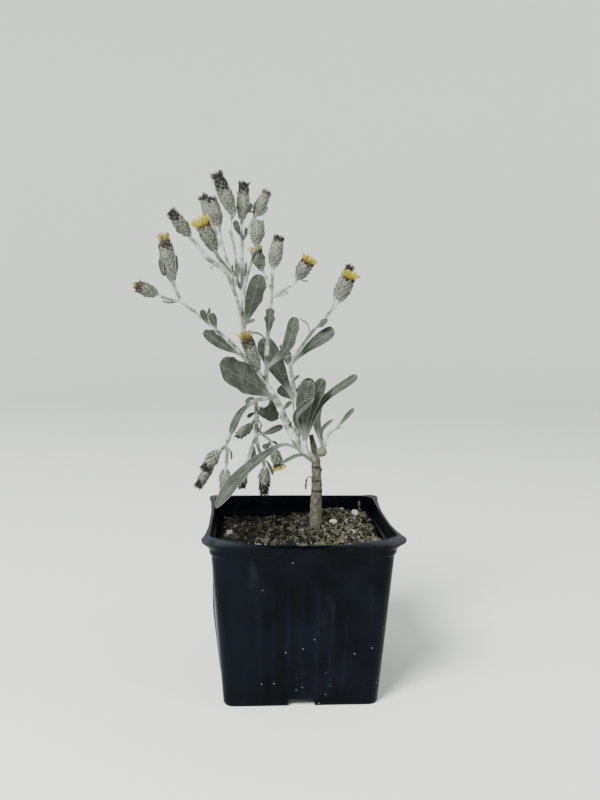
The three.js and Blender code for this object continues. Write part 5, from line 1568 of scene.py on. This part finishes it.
def buildHead(name, seed):
    head = heads[name]
    look = dict(dark=involucre["darkFrom"][head["bloom"]], rust=0.0, green=0.0, bare=0.9, tuft=1.0)
    look.update(head)
    length = (Vector(head["top"]) - Vector(head["base"])).length
    cup = length * involucre["cupShare"][head["bloom"]]
    half = head["width"] / 2
    core = headCore(cup, half, head["bloom"])
    rises = [vertex.co.z / mm / cup for vertex in core.vertices]
    greens = [look["green"] * smoothStep(rise, 0.4, 0.2) * 0.6 for rise in rises]
    setPaint(core, green=greens, reach=[1.0] * len(rises))
    count = round(math.pi * head["width"] * 0.9 * cup / involucre["scaleArea"])
    coat = grown(scaleCoat, core, Length=cup, Count=count, DarkFrom=float(look["dark"]), Seed=seed,
        Rust=float(look["rust"]), Green=float(look["green"]), Bare=float(look["bare"]))
    place = headMatrix(head)
    coat.transform(place)
    parts = [objectOf(name, coat)]
    density = wool["perHeadArea"] / mm ** 2
    fuzz = grown(headWool, coat.copy(), Density=density, Length=wool["length"] * 0.8, Seed=seed)
    parts.append(objectOf("fuzz", fuzz))
    for bract in head.get("bracts", []):
        root = Vector(head["base"]) + headAxis(head) * 0.25 * cup
        mesh = leafMesh("bract", **dict(dict(neck=0.4), **dict(bract, points=[root, *bract["points"]])))
        parts.append(objectOf("bract", mesh, materials["leafFelt"]))
    piece = joined(name + "_scales", parts)
    fasten(piece, "scales", name)
    if head["bloom"] == "bud":
        return
    shape = floretShape[head["bloom"]]
    low = involucre["cupFloor"] * cup
    mouth = half * involucre["profile"][head["bloom"]][-1]
    base = meshOf("seat", [(0, 0, 0)], [])
    tuft = grown(tuftTrees[head["bloom"]], base, Radius=mouth * 0.68 * look["tuft"], Height=length - low,
        Count=round(shape["count"] * look["tuft"]), Seed=seed)
    tuft.transform(place @ Matrix.Translation((0, 0, low * mm)))
    node = name.replace("head", "florets")
    slotName = "dry_florets" if head["bloom"] == "spent" else "yellow_florets"
    fasten(objectOf(node + "_tuft", tuft), slotName, node)


for order, headName in enumerate(heads):
    buildHead(headName, order + 1)
print("heads ready")
for stamp in stamps:
    bpy.data.objects.remove(stamp)


# Studio: a pale dish of a floor, soft light, and the camera at the photograph's angle
studio = dict(
    pale=tint(226, 228, 222), flatRadius=1.6, rimRadius=2.6, rimHeight=2.2,
    cameraAt=(-32.2, -483.2, 219.4), yaw=3.78, pitch=6.15, roll=0.8, focalPixels=827, tallPixels=800,
    world=tint(228, 232, 235), worldStrength=0.8, lampsAim=(0, 0, 0.15),
    lamps=dict(
        window=dict(place=(-0.9, -1.2, 1.6), size=0.9, power=115, colour=(0.97, 0.99, 1.0)),
        fill=dict(place=(1.3, -0.6, 0.9), size=1.0, power=8, colour=(1.0, 0.99, 0.97)),
    ),
)


def buildFloor():
    profile = [(0.0001, 0), (0.5, 0), (1.0, 0), (studio["flatRadius"], 0)]
    for step in range(1, 13):
        angle = step / 12 * math.pi / 2
        bend = studio["rimRadius"] - studio["flatRadius"]
        profile.append((studio["flatRadius"] + bend * math.sin(angle), bend * (1 - math.cos(angle))))
    profile.append((studio["rimRadius"], studio["rimHeight"]))
    sides = 96
    points = [point for radius, z in profile for point in circle(radius, z, sides)]
    faces = []
    for row in range(len(profile) - 1):
        for side in range(sides):
            nextSide = (side + 1) % sides
            a, b = row * sides + side, row * sides + nextSide
            faces.append((a, a + sides, b + sides, b))
    faces.append(tuple(range(sides)))
    made = bpy.data.meshes.new("floor")
    made.from_pydata(points, [], faces)
    made.shade_smooth()
    material, _, shader = startMaterial("paleFloor", 0.9, Specular_IOR_Level=0.1)
    shader.inputs["Base Color"].default_value = studio["pale"]
    objectOf("floor", made, material)


def addLight(name, place, size, power, colour):
    light = bpy.data.lights.new(name, "AREA")
    light.shape = "DISK"
    light.size, light.energy, light.color = size, power, colour
    lamp = bpy.data.objects.new(name, light)
    lamp.location = place
    lamp.rotation_euler = (Vector(studio["lampsAim"]) - Vector(place)).to_track_quat("-Z", "Y").to_euler()
    scene.collection.objects.link(lamp)


def buildCamera():
    yaw, pitch, roll = (math.radians(studio[key]) for key in ("yaw", "pitch", "roll"))
    forward = Vector((math.sin(yaw) * math.cos(pitch), math.cos(yaw) * math.cos(pitch), -math.sin(pitch)))
    level = Vector((math.cos(yaw), -math.sin(yaw), 0))
    up = level.cross(forward)
    right = level * math.cos(roll) + up * math.sin(roll)
    above = up * math.cos(roll) - level * math.sin(roll)
    lens = bpy.data.cameras.new("camera")
    lens.sensor_width = 36
    lens.lens = studio["focalPixels"] * lens.sensor_width / studio["tallPixels"]
    lens.clip_start, lens.clip_end = 0.01, 20
    camera = bpy.data.objects.new("camera", lens)
    turn = Matrix((right, above, -forward)).transposed().to_4x4()
    camera.matrix_world = Matrix.Translation(Vector(studio["cameraAt"]) * mm) @ turn
    scene.collection.objects.link(camera)
    scene.camera = camera


def buildWorld():
    world = bpy.data.worlds.new("studio")
    world.use_nodes = True
    background = world.node_tree.nodes["Background"]
    background.inputs["Color"].default_value = studio["world"]
    background.inputs["Strength"].default_value = studio["worldStrength"]
    scene.world = world


buildFloor()
buildCamera()
buildWorld()
for lampName, lamp in studio["lamps"].items():
    addLight(lampName, **lamp)
print("studio ready")
